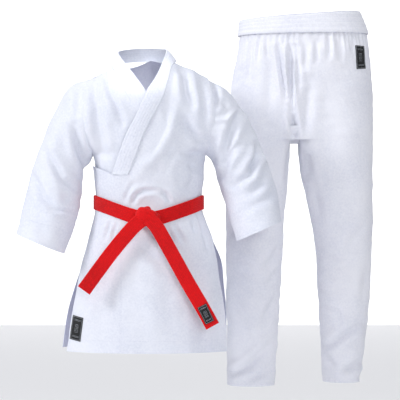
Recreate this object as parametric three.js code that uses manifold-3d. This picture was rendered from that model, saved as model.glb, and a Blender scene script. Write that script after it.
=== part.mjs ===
// Martial arts uniform: wrap-over jacket with a tied belt, and trousers with an elastic waist.
// Millimetres, +Z up, wearer faces -Y, so the wearer's left side is +X.
// The origin is the centre of the chest between the shoulders, at the height of the shoulder seams.
import * as THREE from "three";
import Module from "manifold-3d";

const library = await Module();
library.setup();
const { Manifold, Mesh, CrossSection } = library;

// ---------------------------------------------------------------- sizes
const clothWall = 3;
const bandWall = 4.5;
const layerGap = 0.5;
const seamGap = 0.7;
const shoulderApex = 36;
const shoulderSlope = 0.47;
const shoulderRound = 100;
const armholeTop = -39;
const armpit = -240;
const armholeHalfDepth = 85;
const backBreak = -402;
const hemFront = -768;
const hemBack = -764;
const collarCentreX = -20;
const beltWidth = 39;
const beltWall = 2.6;
const beltCurve = 0.0022354;
const beltEase = beltCurve * beltWidth * beltWidth;
const beltSideZ = -371.5;
const beltDroop = 0.4;
const beltDroopRound = 30;
const beltDroopSpan = 138;
const knotRadius = 27;
const knotDepth = 30;
const tailWall = 5;
const tailClearance = 4;
const labelWall = 1.2;
const labelSeat = 0.3;
const sleeveElbowGap = 0.7;
const trouserDepthCentre = 204;
const casingWall = 2.4;
const elasticWall = 2.6;
const kneeGap = 0.7;
const facingHeight = 46;
const legHemHeight = 38;

// Half outlines of the body, each a height and a distance at that height.
const sideRight = [
  [-39, -163], [-110, -171], [-170, -174], [-215, -165], [-240, -152],
  [-300, -143], [-371, -138], [-402, -142], [-470, -158], [-560, -180],
  [-660, -199], [-768, -214],
];
const sideLeft = [
  [-39, 155], [-110, 172], [-170, 172], [-215, 165], [-240, 149],
  [-300, 142], [-371, 138], [-402, 142], [-470, 164], [-560, 184],
  [-660, 200], [-768, 205],
];
const depthFront = [
  [-39, 104], [-170, 108], [-240, 107], [-300, 100], [-371, 93],
  [-402, 95], [-470, 104], [-560, 111], [-768, 118],
];
const depthBack = [
  [-39, 96], [-170, 99], [-240, 97], [-300, 91], [-371, 85],
  [-402, 88], [-470, 94], [-560, 99], [-768, 104],
];
// How far from the side plane the open vents hold the skirt's front and back edges.
const ventFront = [[-402, 0], [-470, 16], [-560, 36], [-768, 52]];
const ventBack = [[-402, 0], [-470, 8], [-560, 14], [-768, 20]];
// How much wider the back skirt flares than the front skirt.
const flareRight = [[-402, 0], [-470, 2], [-560, 10], [-660, 22], [-768, 24]];
const flareLeft = [[-402, 0], [-470, 3], [-530, 14], [-600, 8], [-768, 0]];

// ---------------------------------------------------------------- helpers
const group = new THREE.Group();
group.name = "martial_arts_uniform";

function smooth(t) {
  const c = Math.min(1, Math.max(0, t));
  return c * c * (3 - 2 * c);
}

// A smooth curve through [position, value] rows whose positions fall.
function along(rows, at) {
  const last = rows.length - 1;
  if (at >= rows[0][0]) return rows[0][1];
  if (at <= rows[last][0]) return rows[last][1];
  let k = 0;
  while (rows[k + 1][0] > at) k += 1;
  const slope = (i) => {
    const a = Math.max(0, i - 1);
    const b = Math.min(last, i + 1);
    return (rows[b][1] - rows[a][1]) / (rows[b][0] - rows[a][0]);
  };
  const h = rows[k + 1][0] - rows[k][0];
  const t = (at - rows[k][0]) / h;
  const a = rows[k][1];
  const b = rows[k + 1][1];
  const s = t * t * (3 - 2 * t);
  const ma = slope(k) * h;
  const mb = slope(k + 1) * h;
  return a + (b - a) * s + ma * t * (1 - t) * (1 - t) - mb * t * t * (1 - t);
}

function solid(points, triangles) {
  const flat = new Float32Array(points.length * 3);
  points.forEach((p, i) => flat.set([p.x, p.y, p.z], i * 3));
  let volume = 0;
  for (const [a, b, c] of triangles) {
    volume += points[a].dot(new THREE.Vector3().crossVectors(points[b], points[c]));
  }
  const order = volume > 0 ? [0, 1, 2] : [0, 2, 1];
  const index = new Uint32Array(triangles.length * 3);
  triangles.forEach((t, i) => index.set(order.map((k) => t[k]), i * 3));
  return new Manifold(new Mesh({ numProp: 3, vertProperties: flat, triVerts: index }));
}

// A closed solid from cross-sections that all have the same number of points. With loop set, the last section
// joins the first.
function skin(sections, loop) {
  const count = sections[0].length;
  const points = sections.flat();
  const triangles = [];
  const steps = loop ? sections.length : sections.length - 1;
  for (let i = 0; i < steps; i += 1) {
    const a = i * count;
    const b = ((i + 1) % sections.length) * count;
    for (let j = 0; j < count; j += 1) {
      const k = (j + 1) % count;
      triangles.push([a + j, b + j, b + k], [a + j, b + k, a + k]);
    }
  }
  if (!loop) {
    const end = (sections.length - 1) * count;
    const half = count / 2;
    // Each end is closed by joining its outer row to its inner row.
    for (let j = 0; j < half - 1; j += 1) {
      const k = count - 1 - j;
      triangles.push([j, j + 1, k - 1], [j, k - 1, k]);
      triangles.push([end + j, end + k - 1, end + j + 1], [end + j, end + k, end + k - 1]);
    }
  }
  return solid(points, triangles);
}

// A sheet of cloth: a surface sampled on a grid and thickened from one offset to another.
function sheet(surface, us, vs, inner, outer) {
  const sections = vs.map((v) => {
    const low = us.map((u) => surface(u, v, inner));
    const high = us.map((u) => surface(u, v, outer));
    return low.concat(high.reverse());
  });
  return skin(sections, false);
}

// A tube open at both ends: closed rings joined, then thickened outwards.
function tube(ring, vs, segments, inner, outer) {
  const points = [];
  const triangles = [];
  const count = segments;
  for (const offset of [inner, outer]) {
    for (const v of vs) {
      for (let j = 0; j < count; j += 1) points.push(ring((j / count) * 2 * Math.PI, v, offset));
    }
  }
  const rows = vs.length;
  const wall = rows * count;
  for (let i = 0; i < rows - 1; i += 1) {
    for (let j = 0; j < count; j += 1) {
      const k = (j + 1) % count;
      const a = i * count;
      const b = a + count;
      triangles.push([a + j, a + k, b + k], [a + j, b + k, b + j]);
      triangles.push([wall + a + j, wall + b + k, wall + a + k], [wall + a + j, wall + b + j, wall + b + k]);
    }
  }
  for (let j = 0; j < count; j += 1) {
    const k = (j + 1) % count;
    const end = (rows - 1) * count;
    triangles.push([j, wall + j, wall + k], [j, wall + k, k]);
    triangles.push([end + j, wall + end + k, wall + end + j], [end + j, end + k, wall + end + k]);
  }
  return solid(points, triangles);
}

// Moves a point of a surface outwards along its normal. away says which way is out.
function lifted(surface, u, v, offset, away, lastU = 100) {
  const h = 0.01;
  const p = surface(u, v);
  const du = surface(Math.min(lastU, u + h), v).sub(surface(Math.max(-lastU, u - h), v));
  const dv = surface(u, v + h).sub(surface(u, v - h));
  const normal = du.cross(dv).normalize();
  if (normal.dot(away(p)) < 0) normal.negate();
  return p.addScaledVector(normal, offset);
}

// A prism that runs front to back, from an outline in the X-Z plane.
function prism(outline, near, far) {
  let area = 0;
  outline.forEach(([x, z], i) => {
    const [nx, nz] = outline[(i + 1) % outline.length];
    area += x * nz - nx * z;
  });
  const turned = area > 0 ? outline : [...outline].reverse();
  return new CrossSection([turned]).extrude(far - near).rotate([90, 0, 0]).translate([0, far, 0]);
}

function steps(from, to, count) {
  return Array.from({ length: count + 1 }, (_, i) => from + ((to - from) * i) / count);
}

// The main body of a shape, without the slivers that a cut leaves beside it.
function trimmed(shape) {
  const bodies = shape.decompose();
  bodies.sort((a, b) => b.volume() - a.volume());
  return bodies[0];
}

function add(name, shape, colour, roughness) {
  const mesh = trimmed(shape).getMesh();
  const geometry = new THREE.BufferGeometry();
  geometry.setAttribute("position", new THREE.BufferAttribute(new Float32Array(mesh.vertProperties), 3));
  geometry.setIndex(new THREE.BufferAttribute(new Uint32Array(mesh.triVerts), 1));
  geometry.computeVertexNormals();
  const material = new THREE.MeshStandardMaterial({ color: colour, roughness, metalness: 0 });
  const body = new THREE.Mesh(geometry, material);
  body.name = name;
  group.add(body);
}

const white = 0xe9edf8;
const shade = 0xd9dcea;
const trouserWhite = 0xf1f2f9;
const red = 0xdb0606;
const black = 0x141518;
const clothRough = 0.86;

// ---------------------------------------------------------------- torso surface
const shoulderZ = (x) => shoulderApex - shoulderSlope * Math.abs(x);
const rowOf = (v) => (v < 1
  ? armholeTop - shoulderRound * (1 - Math.cos((v * Math.PI) / 2))
  : armholeTop - shoulderRound - (v - 1) * 200);
const rowAt = (z) => 1 + (armholeTop - shoulderRound - z) / 200;
const armDepth = (row) => {
  const half = (armholeTop - armpit) / 2;
  const t = (row - armpit) / half - 1;
  return Math.abs(t) < 1 ? armholeHalfDepth * Math.sqrt(1 - t * t) : 0;
};

function torsoBase(side, u, v) {
  const row = rowOf(v);
  const front = side < 0;
  const right = along(sideRight, row) - (front ? 0 : along(flareRight, row));
  const left = along(sideLeft, row) + (front ? 0 : along(flareLeft, row));
  const across = Math.sin((u * Math.PI) / 2);
  const x = (left + right) / 2 + ((left - right) / 2) * across;
  const cap = v < 1 ? Math.sin((v * Math.PI) / 2) : 1;
  const deep = along(front ? depthFront : depthBack, row) * cap;
  const edge = Math.max(armDepth(row), along(front ? ventFront : ventBack, row));
  const y = Math.sqrt(Math.max(0, edge * edge + (deep * deep - edge * edge) * (1 - across * across)));
  const follow = 1 - smooth((armholeTop - row) / (armholeTop - armpit));
  const z = row + (shoulderZ(x) - armholeTop) * follow;
  return new THREE.Vector3(x, side * y, z);
}

const outOfBody = (side) => (p) => new THREE.Vector3(p.x * 0.01, side, 0.2);
const torso = (side) => (u, v, offset) =>
  lifted((a, b) => torsoBase(side, a, Math.max(0, b)), u, v, offset, outOfBody(side), 1);

// The depth of the torso's front at a place on it.
function frontAt(x, z, offset) {
  let row = z;
  for (let i = 0; i < 30; i += 1) {
    const follow = 1 - smooth((armholeTop - row) / (armholeTop - armpit));
    row = Math.min(armholeTop - 0.05, z - (shoulderZ(x) - armholeTop) * follow);
  }
  const fall = (armholeTop - row) / shoulderRound;
  const v = fall < 1 ? (Math.acos(1 - fall) * 2) / Math.PI : rowAt(row);
  const right = along(sideRight, row);
  const left = along(sideLeft, row);
  const across = Math.min(0.999, Math.max(-0.999, (x - (left + right) / 2) / ((left - right) / 2)));
  return torso(-1)((Math.asin(across) * 2) / Math.PI, v, offset);
}

// How far the outer front panel is lifted where the inner panel and its lapel lie under it.
const lapelStack = clothWall + bandWall + 2 * layerGap;
function overLift(x, z) {
  const edge = z > -296 ? -5 + (-78 - z) * 0.459 : 95;
  return lapelStack * (1 - smooth((x - edge - 3) / 46));
}

// ---------------------------------------------------------------- lapels and collar
// Free edge and seam edge of the one long band, from the bottom of the over lapel, round the neck, to the
// bottom of the under lapel: X, Z, and Y where the band stands clear of the body.
const bandFree = [
  [-95, -296], [-71, -224], [-55, -184], [-31, -137], [-5, -78], [18, -38, -84], [33, -2, -50],
  [43, 39, -4], [30, 46, 36], [-21, 50, 56], [-72, 43, 36], [-84, 32, -4], [-64, 0, -42],
  [-40, -31, -72], [-17, -63], [5, -98], [30, -150], [62, -222], [95, -296],
];
const bandSeam = [
  [-51, -296], [-29, -238], [-16, -200], [5, -155], [36, -98], [50, -52], [59, -12],
  [70, 9, 0], [53, 10, 47], [-21, 13, 66], [-90, 6, 47], [-104, -6, 0], [-92, -22],
  [-77, -54], [-56, -90], [-37, -122], [-10, -169], [22, -241], [51, -296],
];
const overRows = 7;

function bandPoint([x, z, y], k) {
  if (y !== undefined) return new THREE.Vector3(x, y, z);
  const over = k < overRows;
  const seat = over ? overLift(x, z) + clothWall + layerGap : clothWall + layerGap;
  return frontAt(x, z, seat);
}

const freeCurve = new THREE.CatmullRomCurve3(bandFree.map(bandPoint), false, "centripetal");
const seamCurve = new THREE.CatmullRomCurve3(bandSeam.map(bandPoint), false, "centripetal");
const bandBulge = 2.2;

function bandBase(u, v) {
  const at = Math.min(1, Math.max(0, v));
  const p = seamCurve.getPoint(at).lerp(freeCurve.getPoint(at), u);
  const out = new THREE.Vector3(p.x - collarCentreX, p.y * 1.6, 0).normalize();
  return p.addScaledVector(out, bandBulge * 4 * u * (1 - u));
}

const outOfNeck = (p) => new THREE.Vector3(p.x - collarCentreX, p.y * 1.6, 0);
const band = (u, v, offset) => lifted(bandBase, u, v, offset, outOfNeck);
const bandSpan = 18;
const bandCut = seamGap / 2 / 1000;
const bandPieces = {
  lapel_over: [0, 7 / bandSpan - bandCut, 14],
  collar_back: [7 / bandSpan + bandCut, 11 / bandSpan - bandCut, 12],
  lapel_under: [11 / bandSpan + bandCut, 1, 14],
};
const across3 = steps(0, 1, 3);
const keepOut = Manifold.union(Object.values(bandPieces).map(([from, to, rows]) =>
  sheet(band, across3.map((u) => -0.02 + u * 1.04), steps(from, to, rows), -layerGap, bandWall + layerGap)));
for (const [name, [from, to, rows]] of Object.entries(bandPieces)) {
  add(name, sheet(band, across3, steps(from, to, rows), 0, bandWall), name === "lapel_under" ? shade : white, clothRough);
}

// ---------------------------------------------------------------- front panels
const upperRows = [0, 0.18, 0.42, 0.7].concat(steps(1, rowAt(-402), 4));
const frontRows = upperRows.concat(steps(rowAt(-470), rowAt(hemFront), 3));
const frontColumns = steps(-1, 1, 14);
const neckHole = Manifold.cylinder(400, 1, 1, 40).scale([80, 56, 1]).translate([-17, 0, -60]);
const bandMiddle = (from, to) => {
  const line = [];
  for (let k = from; k <= to; k += 1) {
    line.push([(bandFree[k][0] + bandSeam[k][0]) / 2, (bandFree[k][1] + bandSeam[k][1]) / 2]);
  }
  return line;
};
const wide = 400;
const sideSeam = seamGap;

const overOutline = [[56.5, 120], ...bandMiddle(4, 7).reverse(), ...bandMiddle(1, 3).reverse(), [-72, -297],
  [-96, -297], [-150, -274], [-wide, -170], [-wide, -900], [wide, -900], [wide, 120]];
const underOutline = [[-94, 120], ...bandMiddle(11, 17), [73, -297], [98, -310], [98, -900],
  [-wide, -900], [-wide, 120]];

function frontSheet(inner, outer, lift) {
  const face = torso(-1);
  const raised = (u, v, offset) => {
    const p = face(u, v, 0);
    return face(u, v, offset + lift(p.x, p.z));
  };
  return sheet(raised, frontColumns, frontRows, inner, outer);
}

const beforeSide = Manifold.cube([2 * wide, wide, 1200]).translate([-wide, -wide - sideSeam / 2, -1000]);
const behindSide = Manifold.cube([2 * wide, wide, 1200]).translate([-wide, sideSeam / 2, -1000]);
const overPanel = frontSheet(0, clothWall, overLift)
  .intersect(prism(overOutline, -wide, wide))
  .intersect(beforeSide)
  .subtract(neckHole)
  .subtract(keepOut);
const underPanel = frontSheet(0, clothWall, () => 0)
  .intersect(prism(underOutline, -wide, wide))
  .intersect(beforeSide)
  .subtract(neckHole)
  .subtract(keepOut);
add("front_panel_over", overPanel, white, clothRough);
add("front_panel_under", underPanel, shade, clothRough);

// ---------------------------------------------------------------- back panels
const backColumns = steps(-1, 1, 14);
const backRows = upperRows;
const skirtRows = steps(rowAt(backBreak - seamGap), rowAt(hemBack), 4);
const leftHalf = Manifold.cube([wide, 2 * wide, 1400]).translate([seamGap / 2, -wide, -1100]);
const rightHalf = Manifold.cube([wide, 2 * wide, 1400]).translate([-wide - seamGap / 2, -wide, -1100]);
const backUpper = sheet(torso(1), backColumns, backRows, 0, clothWall)
  .intersect(behindSide).subtract(neckHole).subtract(keepOut);
const backSkirt = sheet(torso(1), backColumns, skirtRows, 0, clothWall).intersect(behindSide);
add("back_panel_left", backUpper.intersect(leftHalf), white, clothRough);
add("back_panel_right", backUpper.intersect(rightHalf), white, clothRough);
add("back_skirt_left", backSkirt.intersect(leftHalf), shade, clothRough);
add("back_skirt_right", backSkirt.intersect(rightHalf), shade, clothRough);

// ---------------------------------------------------------------- sleeves
// Each row: outer edge X and Z, inner edge X and Z, half depth, and how far forward its middle is.
const sleeveRight = [
  [-167, -41, -156, -240, 85, 0],
  [-219, -65, -166, -254, 83, 0],
  [-267, -149, -172, -276, 76, 0],
  [-302, -238, -183, -306, 70, -2],
  [-322, -307, -186, -337, 66, -6],
  [-338, -380, -196, -412, 62, -26],
  [-354, -455, -228, -507, 59, -52],
];
const sleeveLeft = [
  [160, -43, 153, -240, 85, 0],
  [206, -70, 164, -252, 83, 0],
  [248, -122, 172, -266, 78, 0],
  [284, -189, 181, -292, 73, 0],
  [315, -265, 188, -322, 68, -3],
  [338, -335, 202, -364, 64, -14],
  [351, -421, 234, -473, 58, -48],
];
const elbowRow = 4.2;
const sleeveSegments = 16;
const jacketSide = Manifold.union([
  sheet(torso(-1), frontColumns, frontRows, -layerGap, clothWall + lapelStack + 0.6),
  sheet(torso(1), backColumns, upperRows, -layerGap, clothWall + 0.6),
]);

const pick = (rows, column) => rows.map((r, i) => [-i, r[column]]);
function sleeveBase(rows) {
  const [ox, oz, ix, iz, half, ahead] = [0, 1, 2, 3, 4, 5].map((c) => pick(rows, c));
  return (angle, v) => {
    const at = (table) => along(table, -v);
    const c = Math.cos(angle);
    const s = Math.sin(angle);
    const mx = (at(ox) + at(ix)) / 2;
    const mz = (at(oz) + at(iz)) / 2;
    const x = mx + ((at(ox) - at(ix)) / 2) * c;
    const z = mz + ((at(oz) - at(iz)) / 2) * c;
    return new THREE.Vector3(x, at(ahead) + at(half) * s, z);
  };
}

function sleeveSurface(rows) {
  const base = sleeveBase(rows);
  const middle = (v) => base(0, v).add(base(Math.PI, v)).multiplyScalar(0.5);
  return (angle, v, offset) =>
    lifted(base, angle, Math.max(0, Math.min(rows.length - 1, v)), offset, (p) => p.clone().sub(middle(v)));
}

for (const [side, rows] of [["right", sleeveRight], ["left", sleeveLeft]]) {
  const surface = sleeveSurface(rows);
  const end = rows.length - 1;
  const gapStep = sleeveElbowGap / 160;
  const outwards = side === "left" ? layerGap : -layerGap;
  const beside = Manifold.union([jacketSide, ...[0, outwards].flatMap((shift) =>
    [overPanel, underPanel, backUpper].map((panel) => panel.translate([shift, 0, 0])))]);
  const upper = tube(surface, steps(0.03, elbowRow - gapStep, 5), sleeveSegments, 0, clothWall).subtract(beside);
  const lower = tube(surface, steps(elbowRow + gapStep, end, 3), sleeveSegments, 0, clothWall);
  const facing = tube(surface, steps(end - facingHeight / 80, end - 0.03, 2), sleeveSegments,
    -layerGap - clothWall * 0.6, -layerGap);
  add(`sleeve_upper_${side}`, upper, white, clothRough);
  add(`sleeve_lower_${side}`, lower, white, clothRough);
  add(`cuff_facing_${side}`, facing, shade, clothRough);
}

// ---------------------------------------------------------------- belt
const beltMiddle = (x) => beltSideZ
  - beltDroop * Math.max(0, beltDroopSpan - Math.sqrt(x * x + beltDroopRound * beltDroopRound));
const beltTurns = 48;

// One turn of the belt. rise is its distance from the cloth under it.
function beltTurn(rise) {
  const sections = [];
  for (let i = 0; i < beltTurns; i += 1) {
    const turn = (i / beltTurns) * 4;
    const front = turn < 2;
    const u = front ? -1 + turn : 3 - turn;
    const face = torso(front ? -1 : 1);
    const flat = face(u, rowAt(beltSideZ), 0);
    const middle = front ? beltMiddle(flat.x) : beltSideZ;
    const under = front ? overLift(flat.x, middle) : lapelStack * smooth((-u - 0.45) / 0.55);
    const seat = under + clothWall + rise;
    const corner = (dz, offset) => {
      const p = face(u, rowAt(middle), seat + offset);
      p.z = middle + dz;
      return p;
    };
    const h = beltWidth / 2;
    sections.push([corner(-h, 0), corner(h, 0), corner(h, beltWall), corner(-h, beltWall)]);
  }
  return skin(sections, true);
}

const innerRise = layerGap + beltEase;
const outerRise = innerRise + beltWall + layerGap;
add("belt_turn_inner", beltTurn(innerRise), red, 0.75);
add("belt_turn_outer", beltTurn(outerRise), red, 0.75);

const knotX = -6;
const knotZ = -409;
const beltFace = frontAt(knotX, knotZ, lapelStack + clothWall + outerRise + beltWall).y;
const knotY = beltFace - layerGap - 0.2 - knotDepth / 2;

// The knot is a thick round pad, its axis front to back.
function knotShape(radius, depth) {
  const around = 24;
  const levels = 8;
  const rings = [];
  for (let i = 1; i < levels; i += 1) {
    const y = (-depth / 2) * Math.cos((Math.PI * i) / levels);
    const r = radius * (1 - Math.abs((2 * y) / depth) ** 6) ** (1 / 6);
    rings.push([y, r]);
  }
  const points = [new THREE.Vector3(0, -depth / 2, 0), new THREE.Vector3(0, depth / 2, 0)];
  for (const [y, r] of rings) {
    for (let j = 0; j < around; j += 1) {
      const angle = (2 * Math.PI * j) / around;
      points.push(new THREE.Vector3(r * Math.cos(angle), y, r * Math.sin(angle)));
    }
  }
  const triangles = [];
  for (let j = 0; j < around; j += 1) {
    const k = (j + 1) % around;
    const last = 2 + (rings.length - 1) * around;
    triangles.push([0, 2 + j, 2 + k], [1, last + k, last + j]);
    for (let i = 0; i < rings.length - 1; i += 1) {
      const a = 2 + i * around;
      const b = a + around;
      triangles.push([a + j, b + j, b + k], [a + j, b + k, a + k]);
    }
  }
  return solid(points, triangles).translate([knotX, knotY, knotZ]);
}

add("belt_knot", knotShape(knotRadius, knotDepth), red, 0.72);

// Each tail: the middle line, X and Z, from the knot to the free end.
const tailPlane = Math.min(beltFace, frontAt(0, hemFront, lapelStack + clothWall).y) - tailClearance - tailWall;
const tailRight = [[-28, -420], [-60, -457], [-96, -502], [-132, -550], [-169, -601]];
const tailLeft = [[12, -420], [38, -464], [70, -520], [106, -585], [140, -643], [168, -694]];

function tail(line, wall, width, from, to, y) {
  const curve = new THREE.CatmullRomCurve3(line.map(([x, z]) => new THREE.Vector3(x, y, z)));
  const count = 10;
  return skin(steps(from, to, count).map((t) => {
    const p = curve.getPointAt(t);
    const d = curve.getTangentAt(t);
    const side = new THREE.Vector3(-d.z, 0, d.x).multiplyScalar(width / 2);
    const back = new THREE.Vector3(0, wall, 0);
    return [p.clone().add(side), p.clone().sub(side), p.clone().sub(side).add(back), p.clone().add(side).add(back)];
  }), false);
}

// The two tails hang in two planes, so that each can swing past the other.
const knotRoom = Manifold.cylinder(wide, knotRadius + layerGap, knotRadius + layerGap, 48)
  .rotate([90, 0, 0]).translate([knotX, wide / 2, knotZ]);
const tailShape = (line, y) => tail(line, tailWall, beltWidth - 1, 0, 1, y).subtract(knotRoom);
const nearPlane = tailPlane - tailWall - 2 * layerGap;
add("belt_tail_right", tailShape(tailRight, tailPlane), red, 0.75);
add("belt_tail_left", tailShape(tailLeft, nearPlane), red, 0.75);
add("belt_label", tail(tailLeft, labelWall, beltWidth - 12, 0.83, 0.955, nearPlane - labelSeat - labelWall), black, 0.6);

// ---------------------------------------------------------------- jacket label
// The label stands above the hem and in from the side edge. Each corner: its distance in and its height.
const labelCorners = [[3.8, 96], [33.6, 90], [32.3, 27], [3.5, 33]];
const labelOutline = labelCorners.map(([inwards, height]) => {
  const z = hemFront + height;
  return [along(sideRight, z) + inwards, z];
});
const labelSheet = frontSheet(0, clothWall + labelSeat + labelWall, overLift)
  .subtract(frontSheet(-clothWall, clothWall + labelSeat, overLift));
add("jacket_label", labelSheet.intersect(prism(labelOutline, -wide, 0)), black, 0.6);

// ---------------------------------------------------------------- trousers
// Rings of the hips: right edge X and Z, left edge X and Z, half depth.
const hipRows = [
  [253, 139, 581, 163, 82],
  [249, 96, 604, 101, 90],
  [235, 14, 616, 14, 94],
  [223, -60, 621, -60, 93],
  [217, -130, 622, -130, 90],
  [216, -194, 622, -194, 86],
];
const hipSegments = 28;
const hipBase = (() => {
  const [rx, rz, lx, lz, half] = [0, 1, 2, 3, 4].map((c) => pick(hipRows, c));
  return (angle, v) => {
    const at = (table) => along(table, -v);
    const c = Math.cos(angle);
    const s = Math.sin(angle);
    const bend = (t, p) => Math.sign(t) * Math.abs(t) ** p;
    const wide2 = bend(c, 0.9);
    const x = (at(lx) + at(rx)) / 2 + ((at(lx) - at(rx)) / 2) * wide2;
    const z = (at(lz) + at(rz)) / 2 + ((at(lz) - at(rz)) / 2) * wide2;
    return new THREE.Vector3(x, trouserDepthCentre + at(half) * bend(s, 0.9), z);
  };
})();
const hips = (angle, v, offset) => lifted(hipBase, angle, Math.max(0, Math.min(5, v)), offset, (p) =>
  new THREE.Vector3(p.x - 418, (p.y - trouserDepthCentre) * 2, 0));

const casingEnd = 0.992;
add("waist_casing_outer", tube(hips, steps(0, casingEnd, 3), hipSegments,
  casingWall + elasticWall + 2 * layerGap, 2 * casingWall + elasticWall + 2 * layerGap), trouserWhite, clothRough);
add("waist_elastic", tube(hips, steps(0.1, 0.9, 2), hipSegments,
  casingWall + layerGap, casingWall + layerGap + elasticWall), white, 0.8);
add("waist_casing_inner", tube(hips, steps(0, casingEnd, 3), hipSegments, 0, casingWall), shade, clothRough);

const crotchX = 401;
const gussetWidth = 26;
const gussetTop = -158;
const hipShell = tube(hips, steps(1, 5, 5), hipSegments, 0, clothWall);
const hipLeftSide = Manifold.cube([500, 700, 1400]).translate([crotchX + seamGap / 2, -100, -1100]);
const hipRightSide = Manifold.cube([500, 700, 1400]).translate([crotchX - seamGap / 2 - 500, -100, -1100]);
const gussetRoom = Manifold.cube([gussetWidth + 2 * seamGap, 700, 200])
  .translate([crotchX - gussetWidth / 2 - seamGap, -100, gussetTop - 200 + seamGap]);
add("hip_panel_left", hipShell.intersect(hipLeftSide).subtract(gussetRoom), trouserWhite, clothRough);
add("hip_panel_right", hipShell.intersect(hipRightSide).subtract(gussetRoom), trouserWhite, clothRough);

// The gusset is a strap that hangs between the legs, from the front of the hips to the back.
const gussetHalf = 88;
const gussetLow = -205;
const gussetArc = (t, offset) => {
  const angle = Math.PI * t;
  const y = trouserDepthCentre - (gussetHalf + offset) * Math.cos(angle);
  const z = gussetTop - (gussetTop - gussetLow + offset) * Math.sin(angle);
  return [y, z];
};
add("crotch_gusset", skin(steps(0, 1, 12).map((t) => {
  const [y0, z0] = gussetArc(t, 0);
  const [y1, z1] = gussetArc(t, clothWall);
  const corner = (dx, y, z) => new THREE.Vector3(crotchX + dx, y, z);
  const w = gussetWidth / 2;
  return [corner(-w, y0, z0), corner(w, y0, z0), corner(w, y1, z1), corner(-w, y1, z1)];
}), false), shade, clothRough);

// Rows of a leg: height at the outer edge, outer X, inner X, half depth, height at the inner edge.
const legRight = [
  [-194.9, 216, 384.3, 86, -194.9],
  [-260, 213, 384, 83, -258],
  [-342, 210, 380, 77, -342],
  [-418, 209, 374, 71, -418],
  [-500, 210, 367, 66, -500],
  [-618, 211, 361, 62, -618],
  [-750, 212, 353, 58, -750],
  [-886, 214, 344, 55, -886],
];
const legLeft = [
  [-194.9, 622, 417.7, 86, -194.9],
  [-260, 622, 421, 83, -262],
  [-342, 622, 434, 77, -342],
  [-418, 622, 449, 72, -418],
  [-500, 619, 464, 67, -500],
  [-620, 614, 469, 62, -620],
  [-750, 601, 477, 57, -750],
  [-876, 584, 484, 54, -876],
];
const kneeRow = 3.85;
const legSegments = 16;

function legSurface(rows) {
  const [oz, ox, ix, half, iz] = [0, 1, 2, 3, 4].map((c) => pick(rows, c));
  const base = (angle, v) => {
    const at = (table) => along(table, -v);
    // Near the crotch the inner side is flat, so that the two legs meet along the gusset.
    const inner = Math.cos(angle) < 0;
    const power = inner ? 0.4 + 0.6 * smooth(v / 1.8) : 0.95;
    const bend = (t) => Math.sign(t) * Math.abs(t) ** power;
    const c = bend(Math.cos(angle));
    const mx = (at(ox) + at(ix)) / 2;
    const mz = (at(oz) + at(iz)) / 2;
    return new THREE.Vector3(
      mx + ((at(ox) - at(ix)) / 2) * c,
      trouserDepthCentre + at(half) * bend(Math.sin(angle)),
      mz + ((at(oz) - at(iz)) / 2) * c,
    );
  };
  const middle = (v) => base(0, v).add(base(Math.PI, v)).multiplyScalar(0.5);
  return (angle, v, offset) =>
    lifted(base, angle, Math.max(0, Math.min(rows.length - 1, v)), offset, (p) => p.clone().sub(middle(v)));
}

for (const [side, rows] of [["right", legRight], ["left", legLeft]]) {
  const surface = legSurface(rows);
  const end = rows.length - 1;
  const gapStep = kneeGap / 164;
  const thigh = tube(surface, steps(0, kneeRow - gapStep, 5), legSegments, 0, clothWall);
  const shin = tube(surface, steps(kneeRow + gapStep, end, 3), legSegments, 0, clothWall);
  const hem = tube(surface, steps(end - legHemHeight / 130, end - 0.02, 2), legSegments,
    -layerGap - clothWall * 0.6, -layerGap);
  add(`trouser_thigh_${side}`, thigh, trouserWhite, clothRough);
  add(`trouser_shin_${side}`, shin, trouserWhite, clothRough);
  add(`leg_hem_${side}`, hem, shade, clothRough);
}

const trouserLabelOutline = [[564, 67], [592, 67], [597, 2], [570, -2]];
const hipFace = tube(hips, steps(1, 3, 6), 80, clothWall + labelSeat, clothWall + labelSeat + labelWall);
add("trouser_label", hipFace.intersect(prism(trouserLabelOutline, -wide, trouserDepthCentre)), black, 0.6);

export default group;
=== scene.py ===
import math
import bpy
import bmesh
import numpy as np
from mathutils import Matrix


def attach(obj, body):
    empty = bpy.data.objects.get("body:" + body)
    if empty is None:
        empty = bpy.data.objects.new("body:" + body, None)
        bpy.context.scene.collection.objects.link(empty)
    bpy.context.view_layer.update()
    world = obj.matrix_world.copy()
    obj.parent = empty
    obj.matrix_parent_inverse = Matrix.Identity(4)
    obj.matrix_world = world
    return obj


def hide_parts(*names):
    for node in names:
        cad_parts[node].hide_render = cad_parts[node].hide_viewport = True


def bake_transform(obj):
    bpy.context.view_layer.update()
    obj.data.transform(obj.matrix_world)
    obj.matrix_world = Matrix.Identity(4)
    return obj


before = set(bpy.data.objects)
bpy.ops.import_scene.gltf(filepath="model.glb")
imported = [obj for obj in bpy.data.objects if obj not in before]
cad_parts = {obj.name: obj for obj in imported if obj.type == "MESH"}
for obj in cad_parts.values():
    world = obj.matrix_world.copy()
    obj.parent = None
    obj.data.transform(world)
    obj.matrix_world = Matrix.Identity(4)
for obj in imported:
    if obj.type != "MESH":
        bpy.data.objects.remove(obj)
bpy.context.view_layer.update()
scene = bpy.context.scene


# ------------------------------------------------------------------ wearer's left front, the outer panel
# One panel of bleached cotton canvas from the shoulder to the hem, wrapped over the other front.
# It is sewn at the shoulder, the armhole and the side; its lower part reaches right across the front.
def smooth(t):
    c = np.clip(t, 0, 1)
    return c * c * (3 - 2 * c)


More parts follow.
